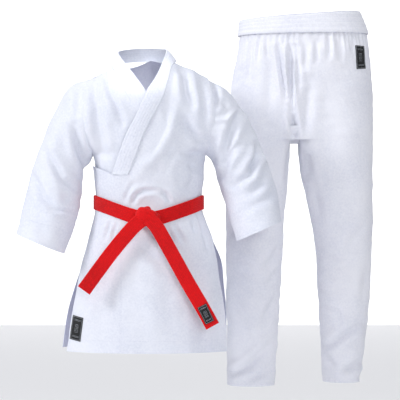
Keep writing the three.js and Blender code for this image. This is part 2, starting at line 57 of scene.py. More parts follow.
def along(rows, at):
    """A smooth curve through [position, value] rows whose positions fall."""
    x = -np.array([r[0] for r in rows], float)
    y = np.array([r[1] for r in rows], float)
    at = np.clip(-np.asarray(at, float), x[0], x[-1])
    k = np.clip(np.searchsorted(x, at, side="right") - 1, 0, len(x) - 2)
    slope = np.gradient(y) / np.gradient(x)
    h = x[k + 1] - x[k]
    t = (at - x[k]) / h
    s = t * t * (3 - 2 * t)
    return (y[k] + (y[k + 1] - y[k]) * s + slope[k] * h * t * (1 - t) ** 2
            - slope[k + 1] * h * t * t * (1 - t))


TOP, ARMPIT, ROUND, ARM_DEPTH = -39, -240, 100, 85
SIDE_RIGHT = [(-39, -163), (-110, -171), (-170, -174), (-215, -165), (-240, -152), (-300, -143),
              (-371, -138), (-402, -142), (-470, -158), (-560, -180), (-660, -199), (-768, -214)]
SIDE_LEFT = [(-39, 155), (-110, 172), (-170, 172), (-215, 165), (-240, 149), (-300, 142),
             (-371, 138), (-402, 142), (-470, 164), (-560, 184), (-660, 200), (-768, 205)]
DEEP_FRONT = [(-39, 104), (-170, 108), (-240, 107), (-300, 100), (-371, 93), (-402, 95), (-470, 104),
              (-560, 111), (-768, 118)]
DEEP_BACK = [(-39, 96), (-170, 99), (-240, 97), (-300, 91), (-371, 85), (-402, 88), (-470, 94),
             (-560, 99), (-768, 104)]
VENT_FRONT = [(-402, 0), (-470, 16), (-560, 36), (-768, 52)]
VENT_BACK = [(-402, 0), (-470, 8), (-560, 14), (-768, 20)]
FLARE_RIGHT = [(-402, 0), (-470, 2), (-560, 10), (-660, 22), (-768, 24)]
FLARE_LEFT = [(-402, 0), (-470, 3), (-530, 14), (-600, 8), (-768, 0)]
STACK = 6.6          # how far the outer front stands over the inner front and its lapel
CLOTH = 1.6          # one layer of canvas
ON_CLOTH = CLOTH + 0.15    # where the stitches lie
SHARP = math.radians(50)   # edges sharper than this are shaded as edges
REACH = 400          # a cutting prism goes this far past the jacket's middle, front and back


def shoulder(x):
    return 36 - 0.47 * np.abs(x)


def row_of(v):
    v = np.asarray(v, float)
    return np.where(v < 1, TOP - ROUND * (1 - np.cos(np.clip(v, 0, 1) * math.pi / 2)),
                    TOP - ROUND - (v - 1) * 200)


def row_at(z):
    return 1 + (TOP - ROUND - z) / 200


def arm_depth(row):
    t = np.abs((row - ARMPIT) / ((TOP - ARMPIT) / 2) - 1)
    return np.where(t < 1, ARM_DEPTH * np.sqrt(np.clip(1 - t * t, 0, 1)), 0)


def torso(side, u, v):
    """The jacket's body: side -1 is the front. u runs from the wearer's right to left, v downwards."""
    v = np.maximum(v, 0)
    row = row_of(v)
    front = side < 0
    right = along(SIDE_RIGHT, row) - (0 if front else along(FLARE_RIGHT, row))
    left = along(SIDE_LEFT, row) + (0 if front else along(FLARE_LEFT, row))
    across = np.sin(np.clip(u, -1, 1) * math.pi / 2)
    x = (left + right) / 2 + (left - right) / 2 * across
    deep = along(DEEP_FRONT if front else DEEP_BACK, row) * np.where(v < 1, np.sin(v * math.pi / 2), 1)
    edge = np.maximum(arm_depth(row), along(VENT_FRONT if front else VENT_BACK, row))
    y = np.sqrt(np.maximum(0, edge ** 2 + (deep ** 2 - edge ** 2) * (1 - across ** 2)))
    follow = 1 - smooth((TOP - row) / (TOP - ARMPIT))
    z = row + (shoulder(x) - TOP) * follow
    return np.stack([x, side * y, z], axis=-1)


def normals(f, u, v, out, limit=100.0):
    h = 0.01
    du = f(np.minimum(u + h, limit), v) - f(np.maximum(u - h, -limit), v)
    dv = f(u, v + h) - f(u, np.maximum(v - h, 0))
    n = np.cross(du, dv)
    n /= np.maximum(np.linalg.norm(n, axis=-1, keepdims=True), 1e-9)
    return np.where((n * out).sum(-1, keepdims=True) < 0, -n, n)


def ripple(p, seed, size):
    """Soft unevenness of laundered cloth: a few crossing waves of about the given size."""
    rng = np.random.default_rng(seed)
    total = 0
    for _ in range(9):
        angle, stretch = rng.uniform(0, math.pi), rng.uniform(0.6, 1.8)
        d = np.array([math.cos(angle), rng.uniform(-0.6, 0.6), math.sin(angle)])
        d = d * 2 * math.pi / size / stretch
        total = total + np.sin(p @ d + rng.uniform(0, 6.28))
    return total / 4.2


def folds(p, strokes):
    """Depth of the folds at points p. Each stroke is its line in X and Z, its depth and its half width."""
    total = np.zeros(p.shape[:-1])
    q = p[..., [0, 2]]
    for line, depth, width in strokes:
        line = np.array(line, float)
        parts = np.linalg.norm(np.diff(line, axis=0), axis=1)
        ends = np.concatenate([[0], np.cumsum(parts)])
        best = np.full(p.shape[:-1], 1e9)
        where = np.zeros(p.shape[:-1])
        for i in range(len(line) - 1):
            a, b = line[i], line[i + 1]
            t = np.clip(((q - a) @ (b - a)) / parts[i] ** 2, 0, 1)
            d = np.linalg.norm(q - a - t[..., None] * (b - a), axis=-1)
            where = np.where(d < best, (ends[i] + t * parts[i]) / ends[-1], where)
            best = np.minimum(best, d)
        taper = np.sqrt(np.clip(np.sin(np.clip(where, 0.03, 0.97) * math.pi), 0, 1))
        total -= depth * taper * (np.exp(-(best / width) ** 2)
                                  - 0.4 * np.exp(-((best - 2.1 * width) / (1.1 * width)) ** 2))
    return total


BELT_SIDE = -371.5


def belt_middle(x):
    return BELT_SIDE - 0.4 * np.maximum(0, 138 - np.sqrt(x * x + 900))


FRONT_FOLDS = [
    ([(-110, -22), (-104, -77), (-87, -109), (-68, -162)], 8, 8),
    ([(-146, -45), (-142, -101), (-134, -185), (-116, -243)], 12, 11),
    ([(-124, -60), (-122, -130), (-112, -200)], 4, 9),
    ([(74, -9), (95, -32), (99, -77), (114, -114)], 11, 10),
    ([(93, -148), (106, -180), (137, -206)], 9, 10),
    ([(140, -60), (146, -110), (148, -170)], 5, 9),
    ([(88, -245), (120, -238), (140, -240)], 6, 8),
    ([(-42, -376), (-34, -352), (-15, -340), (18, -338)], 7, 6),
    ([(56, -372), (43, -350), (30, -342)], 6, 6),
    ([(-60, -372), (-56, -350), (-40, -322)], 4, 6),
    ([(112, -348), (100, -320), (96, -286), (120, -262)], 9, 17),
    ([(78, -86), (62, -178), (30, -236), (-30, -296)], -6, 15),
    ([(50, -120), (38, -180), (0, -250)], 3, 9),
    ([(-97, -424), (-113, -470)], 6, 5),
    ([(-84, -430), (-92, -462)], 5, 5),
    ([(46, -440), (66, -474)], 5, 5),
    ([(66, -436), (92, -480)], 6, 6),
    ([(128, -404), (142, -436), (156, -500)], 9, 7),
    ([(110, -414), (120, -450)], 6, 6),
    ([(-28, -482), (69, -562)], 4, 14),
    ([(-150, -540), (-160, -700)], -4, 22),
    ([(96, -500), (120, -600), (130, -720)], 5, 24),
    ([(10, -520), (16, -640), (18, -750)], -3, 26),
    ([(180, -560), (186, -660), (188, -750)], 5, 14),
]
BAND_FREE = [(-95, -296), (-71, -224), (-55, -184), (-31, -137), (-5, -78), (18, -38, -84), (33, -2, -50),
             (43, 39, -4), (30, 46, 36), (-21, 50, 56), (-72, 43, 36), (-84, 32, -4), (-64, 0, -42),
             (-40, -31, -72), (-17, -63), (5, -98), (30, -150), (62, -222), (95, -296)]
BAND_SEAM = [(-51, -296), (-29, -238), (-16, -200), (5, -155), (36, -98), (50, -52), (59, -12),
             (70, 9, 0), (53, 10, 47), (-21, 13, 66), (-90, 6, 47), (-104, -6, 0), (-92, -22),
             (-77, -54), (-56, -90), (-37, -122), (-10, -169), (22, -241), (51, -296)]
BAND_MIDDLE = [((a[0] + b[0]) / 2, (a[1] + b[1]) / 2) for a, b in zip(BAND_FREE, BAND_SEAM)]


def away_from(p, line, near, far):
    """0 within near of a line in X and Z, 1 beyond far."""
    q, best = p[..., [0, 2]], np.full(p.shape[:-1], 1e9)
    line = np.array(line, float)
    for a, b in zip(line[:-1], line[1:]):
        t = np.clip(((q - a) @ (b - a)) / ((b - a) @ (b - a)), 0, 1)
        best = np.minimum(best, np.linalg.norm(q - a - t[..., None] * (b - a), axis=-1))
    return smooth((best - near) / (far - near))


def front_shape(p, outer=True):
    """Folds of the front. The outer panel only rises, never sinks, where the inner lapel lies under it."""
    calm = smooth((np.abs(p[..., 2] - belt_middle(p[..., 0])) - 20) / 18)
    calm = calm * away_from(p, BAND_MIDDLE[:8], 22, 36)
    rise = calm * (folds(p, FRONT_FOLDS) + 1.1 * ripple(p, 3, 95) + 0.5 * ripple(p, 5, 34))
    free = away_from(p, BAND_MIDDLE[11:], 26, 46)
    return free * rise + ((1 - free) * np.maximum(rise, 0) if outer else 0)


def over_lift(x, z):
    edge = np.where(z > -296, -5 + (-78 - z) * 0.459, 95)
    return STACK * (1 - smooth((x - edge - 3) / 46))


def front_face(u, v, offset, lift=True):
    f = lambda a, b: torso(-1, a, b)
    p = f(u, v)
    n = normals(f, u, v, p * [0.01, 0, 0] + [0, -1, 0.2], 1)
    rise = offset + front_shape(p, lift) + (over_lift(p[..., 0], p[..., 2]) if lift else 0)
    return p + n * np.asarray(rise)[..., None]


def front_at(x, z, offset, lift=True):
    x, z = np.atleast_1d(np.asarray(x, float)), np.atleast_1d(np.asarray(z, float))
    row = z.copy()
    for _ in range(40):
        row = np.minimum(TOP - 0.05, z - (shoulder(x) - TOP) * (1 - smooth((TOP - row) / (TOP - ARMPIT))))
    fall = (TOP - row) / ROUND
    v = np.where(fall < 1, np.arccos(np.clip(1 - fall, -1, 1)) * 2 / math.pi, row_at(row))
    right, left = along(SIDE_RIGHT, row), along(SIDE_LEFT, row)
    across = np.clip((x - (left + right) / 2) / ((left - right) / 2), -0.999, 0.999)
    return front_face(np.arcsin(across) * 2 / math.pi, v, offset, lift)


def mesh_object(name, points, faces, materials, index=None):
    mesh = bpy.data.meshes.new(name)
    mesh.from_pydata([tuple(p) for p in np.asarray(points) / 1000], [], faces)
    for m in materials:
        mesh.materials.append(m)
    if index is not None:
        mesh.polygons.foreach_set("material_index", index)
    mesh.polygons.foreach_set("use_smooth", [True] * len(faces))
    mesh.update()
    thing = bpy.data.objects.new(name, mesh)
    scene.collection.objects.link(thing)
    return thing


def outwards(thing):
    """Turns every face of a closed piece to the outside."""
    b = bmesh.new()
    b.from_mesh(thing.data)
    bmesh.ops.recalc_face_normals(b, faces=b.faces)
    if b.calc_volume(signed=True) < 0:
        bmesh.ops.reverse_faces(b, faces=b.faces)
    b.to_mesh(thing.data)
    b.free()


def shell(name, low, high, materials, loop=False):
    """A closed piece between an inner and an outer grid. The outer faces take the first material."""
    rows, cols = low.shape[:2]
    n = rows * cols
    points = np.concatenate([high.reshape(-1, 3), low.reshape(-1, 3)])
    faces, kind = [], []
    last = cols if loop else cols - 1
    for i in range(rows - 1):
        for j in range(last):
            k = (j + 1) % cols
            a, b, c, d = i * cols + j, i * cols + k, (i + 1) * cols + k, (i + 1) * cols + j
            faces += [(a, b, c, d), (n + a, n + d, n + c, n + b)]
            # The inner faces take the second material. For the canvas and drill pieces that is the canvas
            # copy darkened as painted shade.
            kind += [0, min(1, len(materials) - 1)]
    for j in range(last):
        k = (j + 1) % cols
        e = (rows - 1) * cols
        faces += [(j, n + j, n + k, k), (e + j, e + k, n + e + k, n + e + j)]
        kind += [0, 0]
    if not loop:
        for i in range(rows - 1):
            a, b = i * cols, (i + 1) * cols
            faces += [(a, b, n + b, n + a), (a + cols - 1, n + a + cols - 1, n + b + cols - 1, b + cols - 1)]
            kind += [0, 0]
    thing = mesh_object(name, points, faces, materials, kind)
    outwards(thing)
    thing.data.set_sharp_from_angle(angle=SHARP)
    return thing


def trim(thing, outline):
    """Cuts a piece with a prism that runs front to back, keeping what is inside its outline."""
    n = len(outline)
    points = [(x, -REACH, z) for x, z in outline] + [(x, REACH, z) for x, z in outline]
    faces = [tuple(range(n)), tuple(range(2 * n - 1, n - 1, -1))]
    faces += [(i, n + i, n + (i + 1) % n, (i + 1) % n) for i in range(n)]
    cutter = mesh_object("cutter", points, faces, [])
    outwards(cutter)
    m = thing.modifiers.new("cut", "BOOLEAN")
    m.operation = "INTERSECT"
    m.solver = "MANIFOLD"
    m.object = cutter
    settle(thing)
    bpy.data.objects.remove(cutter)


def settle(thing):
    """Replaces a piece's mesh with what its modifiers make of it."""
    graph = bpy.context.evaluated_depsgraph_get()
    done = bpy.data.meshes.new_from_object(thing.evaluated_get(graph))
    thing.modifiers.clear()
    thing.data = done
    done.set_sharp_from_angle(angle=SHARP)


def colour(code):
    part = [int(code[i:i + 2], 16) / 255 for i in (1, 3, 5)]
    return [c / 12.92 if c <= 0.04045 else ((c + 0.055) / 1.055) ** 2.4 for c in part] + [1]


def add_node(tree, kind, **values):
    node = tree.nodes.new(kind)
    for key, value in values.items():
        if key in node.inputs:
            node.inputs[key].default_value = value
        else:
            setattr(node, key, value)
    return node


def cloth_material(name, light, dark, rough, sheen, pitch, through=0.0, bump=0.25):
    """Woven cloth: warp and weft ribs of the given pitch in metres, slubs, faint wear and a soft sheen.
    through is the share of light that the cloth lets pass."""
    mat = bpy.data.materials.new(name)
    mat.use_nodes = True
    tree = mat.node_tree
    tree.nodes.clear()
    out = tree.nodes.new("ShaderNodeOutputMaterial")
    skin = add_node(tree, "ShaderNodeBsdfPrincipled", Roughness=rough)
    skin.inputs["Sheen Weight"].default_value = sheen
    skin.inputs["Sheen Roughness"].default_value = 0.55
    skin.inputs["Specular IOR Level"].default_value = 0.25
    place = tree.nodes.new("ShaderNodeTexCoord")
    scale = 2 * math.pi / 20 / pitch
    height = None
    for direction in ("X", "Z"):
        wave = add_node(tree, "ShaderNodeTexWave", Scale=scale, Distortion=1.2, bands_direction=direction)
        tree.links.new(place.outputs["Object"], wave.inputs["Vector"])
        if height is None:
            height = wave.outputs["Fac"]
        else:
            both = add_node(tree, "ShaderNodeMath", operation="ADD")
            tree.links.new(height, both.inputs[0])
            tree.links.new(wave.outputs["Fac"], both.inputs[1])
            height = both.outputs[0]
    slub = add_node(tree, "ShaderNodeTexNoise", Scale=190.0, Detail=4.0)
    wear = add_node(tree, "ShaderNodeTexNoise", Scale=9.0, Detail=5.0)
    for noise in (slub, wear):
        tree.links.new(place.outputs["Object"], noise.inputs["Vector"])
    rough_part = add_node(tree, "ShaderNodeMath", operation="MULTIPLY_ADD")
    rough_part.inputs[1].default_value = 1.6
    tree.links.new(slub.outputs["Fac"], rough_part.inputs[0])
    tree.links.new(height, rough_part.inputs[2])
    raised = add_node(tree, "ShaderNodeBump", Strength=bump, Distance=0.0006)
    tree.links.new(rough_part.outputs[0], raised.inputs["Height"])
    tree.links.new(raised.outputs["Normal"], skin.inputs["Normal"])
    mix = add_node(tree, "ShaderNodeMix", data_type="RGBA")
    mix.inputs[6].default_value = colour(light)
    mix.inputs[7].default_value = colour(dark)
    blend = add_node(tree, "ShaderNodeMath", operation="MULTIPLY")
    tree.links.new(wear.outputs["Fac"], blend.inputs[0])
    tree.links.new(slub.outputs["Fac"], blend.inputs[1])
    spread = add_node(tree, "ShaderNodeMapRange")
    spread.inputs["From Min"].default_value = 0.14
    spread.inputs["From Max"].default_value = 0.4
    tree.links.new(blend.outputs[0], spread.inputs["Value"])
    tree.links.new(spread.outputs["Result"], mix.inputs[0])
    tree.links.new(mix.outputs[2], skin.inputs["Base Color"])
    glow = tree.nodes.new("ShaderNodeBsdfTranslucent")
    tree.links.new(mix.outputs[2], glow.inputs["Color"])
    tree.links.new(raised.outputs["Normal"], glow.inputs["Normal"])
    share = tree.nodes.new("ShaderNodeMixShader")
    share.inputs[0].default_value = through
    tree.links.new(skin.outputs[0], share.inputs[1])
    tree.links.new(glow.outputs[0], share.inputs[2])
    tree.links.new(share.outputs[0], out.inputs["Surface"])
    return mat


CANVAS = cloth_material("bleached_cotton_canvas", "#F1F4FD", "#E4E8F4", 0.88, 0.12, 0.0011, 0.16)
# The inner faces take a darker copy of the same canvas. This is painted shade, for insides that the lamps
# reach less.
CANVAS_INSIDE_PAINTED_SHADE = cloth_material("bleached_canvas_inside_painted_shade", "#E2E4F4", "#D2D4EA", 0.92, 0.1, 0.0011, 0.16)
THREAD = cloth_material("white_sewing_thread", "#E6E9F4", "#D5D9E8", 0.7, 0.1, 0.0004)


def stitch_tree():
    """Geometry nodes: small rounded stitches along every line of the input mesh."""
    tree = bpy.data.node_groups.new("stitch_rows", "GeometryNodeTree")
    face = tree.interface
    face.new_socket("Geometry", in_out="INPUT", socket_type="NodeSocketGeometry")
    for label, value in (("Pitch", 0.0042), ("Length", 0.0031), ("Radius", 0.00045)):
        socket = face.new_socket(label, in_out="INPUT", socket_type="NodeSocketFloat")
        socket.default_value = value
    face.new_socket("Material", in_out="INPUT", socket_type="NodeSocketMaterial")
    face.new_socket("Geometry", in_out="OUTPUT", socket_type="NodeSocketGeometry")
    start, end = tree.nodes.new("NodeGroupInput"), tree.nodes.new("NodeGroupOutput")
    curve = tree.nodes.new("GeometryNodeMeshToCurve")
    points = add_node(tree, "GeometryNodeCurveToPoints", mode="LENGTH")
    rod = add_node(tree, "GeometryNodeMeshUVSphere", Segments=6, Rings=4)
    shape = tree.nodes.new("GeometryNodeTransform")
    spread = tree.nodes.new("ShaderNodeCombineXYZ")
    half = add_node(tree, "ShaderNodeMath", operation="MULTIPLY")
    half.inputs[1].default_value = 0.5
    place = tree.nodes.new("GeometryNodeInstanceOnPoints")
    real = tree.nodes.new("GeometryNodeRealizeInstances")
    paint = tree.nodes.new("GeometryNodeSetMaterial")
    rod.inputs["Radius"].default_value = 1.0
    link = tree.links.new
    link(start.outputs[0], curve.inputs[0])
    link(curve.outputs[0], points.inputs[0])
    link(start.outputs["Pitch"], points.inputs["Length"])
    link(start.outputs["Length"], half.inputs[0])
    link(start.outputs["Radius"], spread.inputs[0])
    link(start.outputs["Radius"], spread.inputs[1])
    link(half.outputs[0], spread.inputs[2])
    link(rod.outputs["Mesh"], shape.inputs["Geometry"])
    link(spread.outputs[0], shape.inputs["Scale"])
    link(points.outputs["Points"], place.inputs["Points"])
    link(shape.outputs[0], place.inputs["Instance"])
    link(points.outputs["Rotation"], place.inputs["Rotation"])
    link(place.outputs[0], real.inputs[0])
    link(real.outputs[0], paint.inputs[0])
    link(start.outputs["Material"], paint.inputs["Material"])
    link(paint.outputs[0], end.inputs[0])
    return tree


STITCHES = stitch_tree()
SOCKETS = {s.name: s.identifier for s in STITCHES.interface.items_tree if s.in_out == "INPUT"}


def stitches(name, lines, thread, body, pitch=0.0042, length=0.0031, radius=0.00045):
    """Rows of stitches along lines of points, as one piece that rides on a body."""
    points, edges = [], []
    for line in lines:
        first = len(points)
        points += [tuple(p / 1000) for p in line]
        edges += [(first + i, first + i + 1) for i in range(len(line) - 1)]
    mesh = bpy.data.meshes.new(name)
    mesh.from_pydata(points, edges, [])
    thing = bpy.data.objects.new(name, mesh)
    scene.collection.objects.link(thing)
    m = thing.modifiers.new("rows", "NODES")
    m.node_group = STITCHES
    m[SOCKETS["Pitch"]], m[SOCKETS["Length"]], m[SOCKETS["Radius"]] = pitch, length, radius
    m[SOCKETS["Material"]] = thread
    settle(thing)
    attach(thing, body)


def front_sheet(name, lift, materials):
    us = np.linspace(-1, 1, 170)
    vs = np.concatenate([np.linspace(0, 1, 46)[:-1], np.linspace(1, row_at(-768), 210)])
    u, v = np.meshgrid(us, vs)
    return shell(name, front_face(u, v, 0.0, lift), front_face(u, v, CLOTH, lift), materials)


# The neck opening, seen from the front: everything between the two lapels' middles is cut away.
OVER_LINE = [(-96, -297), (-72, -297)] + BAND_MIDDLE[1:8] + [(58, 120)]
over = front_sheet("front_outer", True, [CANVAS, CANVAS_INSIDE_PAINTED_SHADE])
trim(over, [(-150, -274)] + OVER_LINE + [(400, 120), (400, -900), (-400, -900), (-400, -170)])
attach(over, "jacket")
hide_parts("front_panel_over")


def front_row(xs, zs, offset, lift=True):
    return front_at(np.asarray(xs, float), np.asarray(zs, float), offset, lift)


def hem_row(z, low, high, n=160):
    us = np.linspace(low, high, n)
    return front_face(us, np.full(n, row_at(z)), ON_CLOTH)


panel_seam_top = [(np.full(60, -72.0 + d), np.linspace(-300, -362, 60)) for d in (-1.6, 1.6)]
panel_seam_low = [(np.full(200, -70.0 + d) - 3 * np.linspace(0, 1, 200), np.linspace(-442, -762, 200))
                  for d in (-1.6, 1.6)]
step_edge = [(np.linspace(-74, -140, 60), np.linspace(-301, -283, 60))]
lines = [front_row(x, z, ON_CLOTH) for x, z in panel_seam_top + panel_seam_low + step_edge]
lines += [hem_row(-736, -0.985, 0.985), hem_row(-765, -0.985, 0.985)]
stitches("front_outer_seams", lines, THREAD, "jacket")

# ------------------------------------------------------------------ wearer's right front, the inner panel
# The same canvas, sewn to the right shoulder, armhole and side; it crosses under the outer panel.
under = front_sheet("front_inner", False, [CANVAS, CANVAS_INSIDE_PAINTED_SHADE])
UNDER_LINE = [(-94, 120)] + BAND_MIDDLE[11:18] + [(73, -297), (98, -310), (98, -900)]
trim(under, UNDER_LINE + [(-400, -900), (-400, 120)])
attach(under, "jacket")
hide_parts("front_panel_under")

# ------------------------------------------------------------------ back, two panels with a centre seam
# Bleached canvas from the shoulders to the hem. It is open at both sides below the belt.
BACK_FOLDS = [
    ([(-130, -70), (-118, -160), (-90, -250)], 8, 11), ([(126, -70), (118, -160), (86, -250)], 8, 11),
    ([(-60, -330), (-30, -290), (20, -280)], 5, 9), ([(70, -340), (50, -300), (30, -260)], 5, 9),
    ([(-70, -400), (-86, -520)], 6, 9), ([(60, -402), (80, -560)], 6, 10), ([(0, -404), (-8, -500)], 5, 8),
    ([(-150, -500), (-168, -740)], 6, 18), ([(130, -480), (150, -740)], 6, 18),
    ([(20, -560), (24, -750)], -5, 26),
]


def back_face(u, v, offset):
    f = lambda a, b: torso(1, a, b)
    p = f(u, v)
    n = normals(f, u, v, p * [0.01, 0, 0] + [0, 1, 0.2], 1)
    calm = smooth((np.abs(p[..., 2] - BELT_SIDE) - 20) / 18) * smooth((150 - np.abs(p[..., 0])) / 40 + 1)
    calm = calm * smooth((14 - p[..., 2]) / 40)
    rise = offset + calm * (folds(p, BACK_FOLDS) + 1.2 * ripple(p, 11, 100) + 0.5 * ripple(p, 12, 36))
    return p + n * rise[..., None]


u, v = np.meshgrid(np.linspace(-1, 1, 150),
                   np.concatenate([np.linspace(0, 1, 40)[:-1], np.linspace(1, row_at(-764), 190)]))
back = shell("back_panel", back_face(u, v, 0.0), back_face(u, v, CLOTH), [CANVAS, CANVAS_INSIDE_PAINTED_SHADE])
NECK_X, NECK_WIDE, NECK_DEEP = -17, 80, 56    # the neck hole's middle and half sizes
SIDES = 64
turn = np.linspace(0, 2 * math.pi, SIDES + 1)[:-1]
ring = [(NECK_X + NECK_WIDE * math.cos(t), NECK_DEEP * math.sin(t)) for t in turn]
neck = mesh_object("neck_cut", [(x, y, -60) for x, y in ring] + [(x, y, 300) for x, y in ring],
                   [tuple(range(SIDES)), tuple(range(2 * SIDES - 1, SIDES - 1, -1))]
                   + [(i, SIDES + i, SIDES + (i + 1) % SIDES, (i + 1) % SIDES) for i in range(SIDES)], [])
outwards(neck)
for piece in (back, under, over):
    cut = piece.modifiers.new("cut", "BOOLEAN")
    cut.operation, cut.solver, cut.object = "DIFFERENCE", "MANIFOLD", neck
    settle(piece)
bpy.data.objects.remove(neck)
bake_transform(back)
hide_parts("back_panel_left", "back_panel_right", "back_skirt_left", "back_skirt_right")
rows = [back_face(np.linspace(-0.985, 0.985, 160), np.full(160, row_at(z)), ON_CLOTH) for z in (-732, -761)]
centre = np.linspace(row_at(-45), row_at(-350), 90)
rows += [back_face(np.full(90, d), centre, ON_CLOTH) for d in (-0.006, 0.014)]
stitches("back_seams", rows[2:], THREAD, "jacket")
stitches("back_hem_seams", rows[:2], THREAD, "back_skirt")

# ------------------------------------------------------------------ lapels and collar, one long band
# Several layers of canvas folded into a 44 mm band, quilted with parallel rows, sewn over the front edges
# and round the neck. The wearer's left end lies on top and is caught in the seam above the belt.


def catmull(points, ts):
    """A centripetal curve through the points."""
    pts = np.array(points, float)
    n = len(pts)
    out = []
    for t in ts:
        p = t * (n - 1)
        k = min(int(p), n - 2)
        w = p - k
        p0 = pts[k - 1] if k > 0 else 2 * pts[0] - pts[1]
        p3 = pts[k + 2] if k + 2 < n else 2 * pts[-1] - pts[-2]
        p1, p2 = pts[k], pts[k + 1]
        pairs = ((p0, p1), (p1, p2), (p2, p3))
        d0, d1, d2 = [max(1e-4, float(np.dot(b - a, b - a)) ** 0.25) for a, b in pairs]
        m1 = ((p1 - p0) / d0 - (p2 - p0) / (d0 + d1) + (p2 - p1) / d1) * d1
        m2 = ((p2 - p1) / d1 - (p3 - p1) / (d1 + d2) + (p3 - p2) / d2) * d1
        square = (-3 * p1 + 3 * p2 - 2 * m1 - m2) * w ** 2
        cube = (2 * p1 - 2 * p2 + m1 + m2) * w ** 3
        out.append(p1 + m1 * w + square + cube)
    return np.array(out)


def band_control(rows):
    out = []
    for k, r in enumerate(rows):
        if len(r) == 3:
            out.append((r[0], r[2], r[1]))
        else:
            out.append(tuple(front_at(r[0], r[1], CLOTH + 0.5, k < 7)[0]))
    return out


FREE_POINTS, SEAM_POINTS = band_control(BAND_FREE), band_control(BAND_SEAM)
BAND_ROWS = 5
BAND_WALL = 3.4


def band_grid(us, ts, groove=0.55):
    """The band's inner grid, its outward direction and its wall. Its inner end is pressed flat."""
    flat = smooth((np.asarray(ts) - 0.70) / 0.05)[:, None]
    free, seam = catmull(FREE_POINTS, ts), catmull(SEAM_POINTS, ts)
    p = seam[:, None] + (free - seam)[:, None] * us[None, :, None]
    out = np.stack([p[..., 0] + 20, p[..., 1] * 1.6, np.zeros(p.shape[:2])], axis=-1)
    out /= np.linalg.norm(out, axis=-1, keepdims=True)
    p = p + out * (2.0 * 4 * us * (1 - us) * (1 - 0.85 * flat))[..., None]
    n = np.cross(np.gradient(p, axis=1), np.gradient(p, axis=0))
    n /= np.linalg.norm(n, axis=-1, keepdims=True)
    n = np.where((n * out).sum(-1, keepdims=True) < 0, -n, n)
    soft = np.clip(np.minimum(us, 1 - us) / 0.05, 0, 1) ** 0.5
    rows = (us * (BAND_ROWS + 1)) % 1
    near = np.minimum(rows, 1 - rows) / (BAND_ROWS + 1) * 44
    inside = (us > 0.08) & (us < 0.92)
    dip = np.where(inside, groove * np.exp(-(near / 1.1) ** 2), 0)
    wall = (0.9 + (BAND_WALL - 0.9) * soft - dip) * (1 - 0.35 * flat)
    return p, n, wall[..., None]


for name, body_range, node in (("lapel_outer", (0, 7 / 18), "lapel_over"),
                               ("collar", (7 / 18, 11 / 18), "collar_back"),
                               ("lapel_inner", (11 / 18, 1), "lapel_under")):
    us = np.linspace(0, 1, 60)
    ts = np.linspace(body_range[0], body_range[1], 120)
    p, n, wall = band_grid(us, ts)
    wobble = (0.25 * ripple(p, 21, 26) + 0.25 * ripple(p, 22, 60))[..., None] * n
    both = [CANVAS, CANVAS] if node == "collar_back" else [CANVAS, CANVAS_INSIDE_PAINTED_SHADE]
    band = shell(name, p + wobble, p + n * wall + wobble, both)
    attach(band, "jacket")
    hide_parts(node)
    lines = []
    for k in range(BAND_ROWS):
        row = (k + 1) / (BAND_ROWS + 1)
        uk = np.array([row - 0.01, row, row + 0.01])
        q, m, w = band_grid(uk, ts)
        lines.append((q + m * (w + 0.1))[3:-3, 1])
        if node == "collar_back":
            lines.append((q - m * 0.2)[3:-3, 1])
    stitches(name + "_rows", lines, THREAD, "jacket")

# ------------------------------------------------------------------ sleeves
# Wide, short canvas sleeves, each a tube sewn into the armhole. The cuff is turned in and sewn flat.
SLEEVES = {
    "right": dict(rows=[(-165, -40, -153, -240, 85, 0), (-219, -65, -163, -252, 83, 0),
                        (-267, -149, -171, -274, 76, 0),
                        (-302, -238, -183, -306, 70, -2), (-322, -307, -186, -337, 66, -6),
                        (-338, -380, -196, -412, 62, -26), (-354, -455, -228, -507, 59, -52)],
                  folds=[([(-198, -170), (-186, -230), (-166, -285)], 15, 10),
                         ([(-275, -235), (-232, -309), (-192, -341)], 10, 9),
                         ([(-312, -296), (-280, -359), (-240, -388)], 10, 9),
                         ([(-262, -388), (-196, -398)], 5, 5), ([(-232, -330), (-214, -372)], 7, 12),
                         ([(-240, -150), (-262, -240)], -5, 18), ([(-186, -70), (-190, -150)], 5, 10),
                         ([(-300, -420), (-270, -480)], 3, 14)],
                  arm=((-0.165, 0, -0.2), (-0.1948, 0, -0.206)), elbow=(-256.5, -337), down=(-0.214, -0.977)),
    "left": dict(rows=[(157, -42, 150, -240, 85, 0), (206, -70, 163, -252, 83, 0),
                       (248, -122, 172, -266, 78, 0),
                       (284, -189, 181, -292, 73, 0), (315, -265, 188, -322, 68, -3),
                       (338, -335, 202, -364, 64, -14), (351, -421, 234, -473, 58, -48)],
                 folds=[([(160, -50), (172, -80), (178, -112)], 12, 9),
                        ([(241, -122), (217, -185), (198, -262)], 13, 10),
                        ([(297, -223), (268, -296), (228, -326)], 10, 9),
                        ([(284, -214), (290, -252), (262, -288)], 9, 7),
                        ([(236, -214), (206, -262), (196, -300)], 8, 8),
                        ([(171, -152), (204, -152), (236, -124)], -5, 6), ([(312, -300), (270, -352)], 6, 10),
                        ([(190, -96), (208, -120)], 6, 9), ([(250, -392), (330, -352)], 4, 10)],
                 arm=((0.165, 0, -0.185), (0.195, 0, -0.191)), elbow=(255, -306), down=(0.364, -0.932)),
}


def tube_base(table, angle, v, power=None):
    """A tube's wall. A row is its outer edge's X and Z, its inner edge's X and Z, half depth, middle Y."""
    ox, oz, ix, iz, half, mid = [along([(-i, r[c]) for i, r in enumerate(table)], -np.asarray(v, float))
                                 for c in range(6)]
    e = 1.0 if power is None else power(np.cos(angle), v)
    c = np.sign(np.cos(angle)) * np.abs(np.cos(angle)) ** e
    s = np.sign(np.sin(angle)) * np.abs(np.sin(angle)) ** e
    x = (ox + ix) / 2 + (ox - ix) / 2 * c
    z = (oz + iz) / 2 + (oz - iz) / 2 * c
    return np.stack([x, mid + half * s, z], axis=-1)


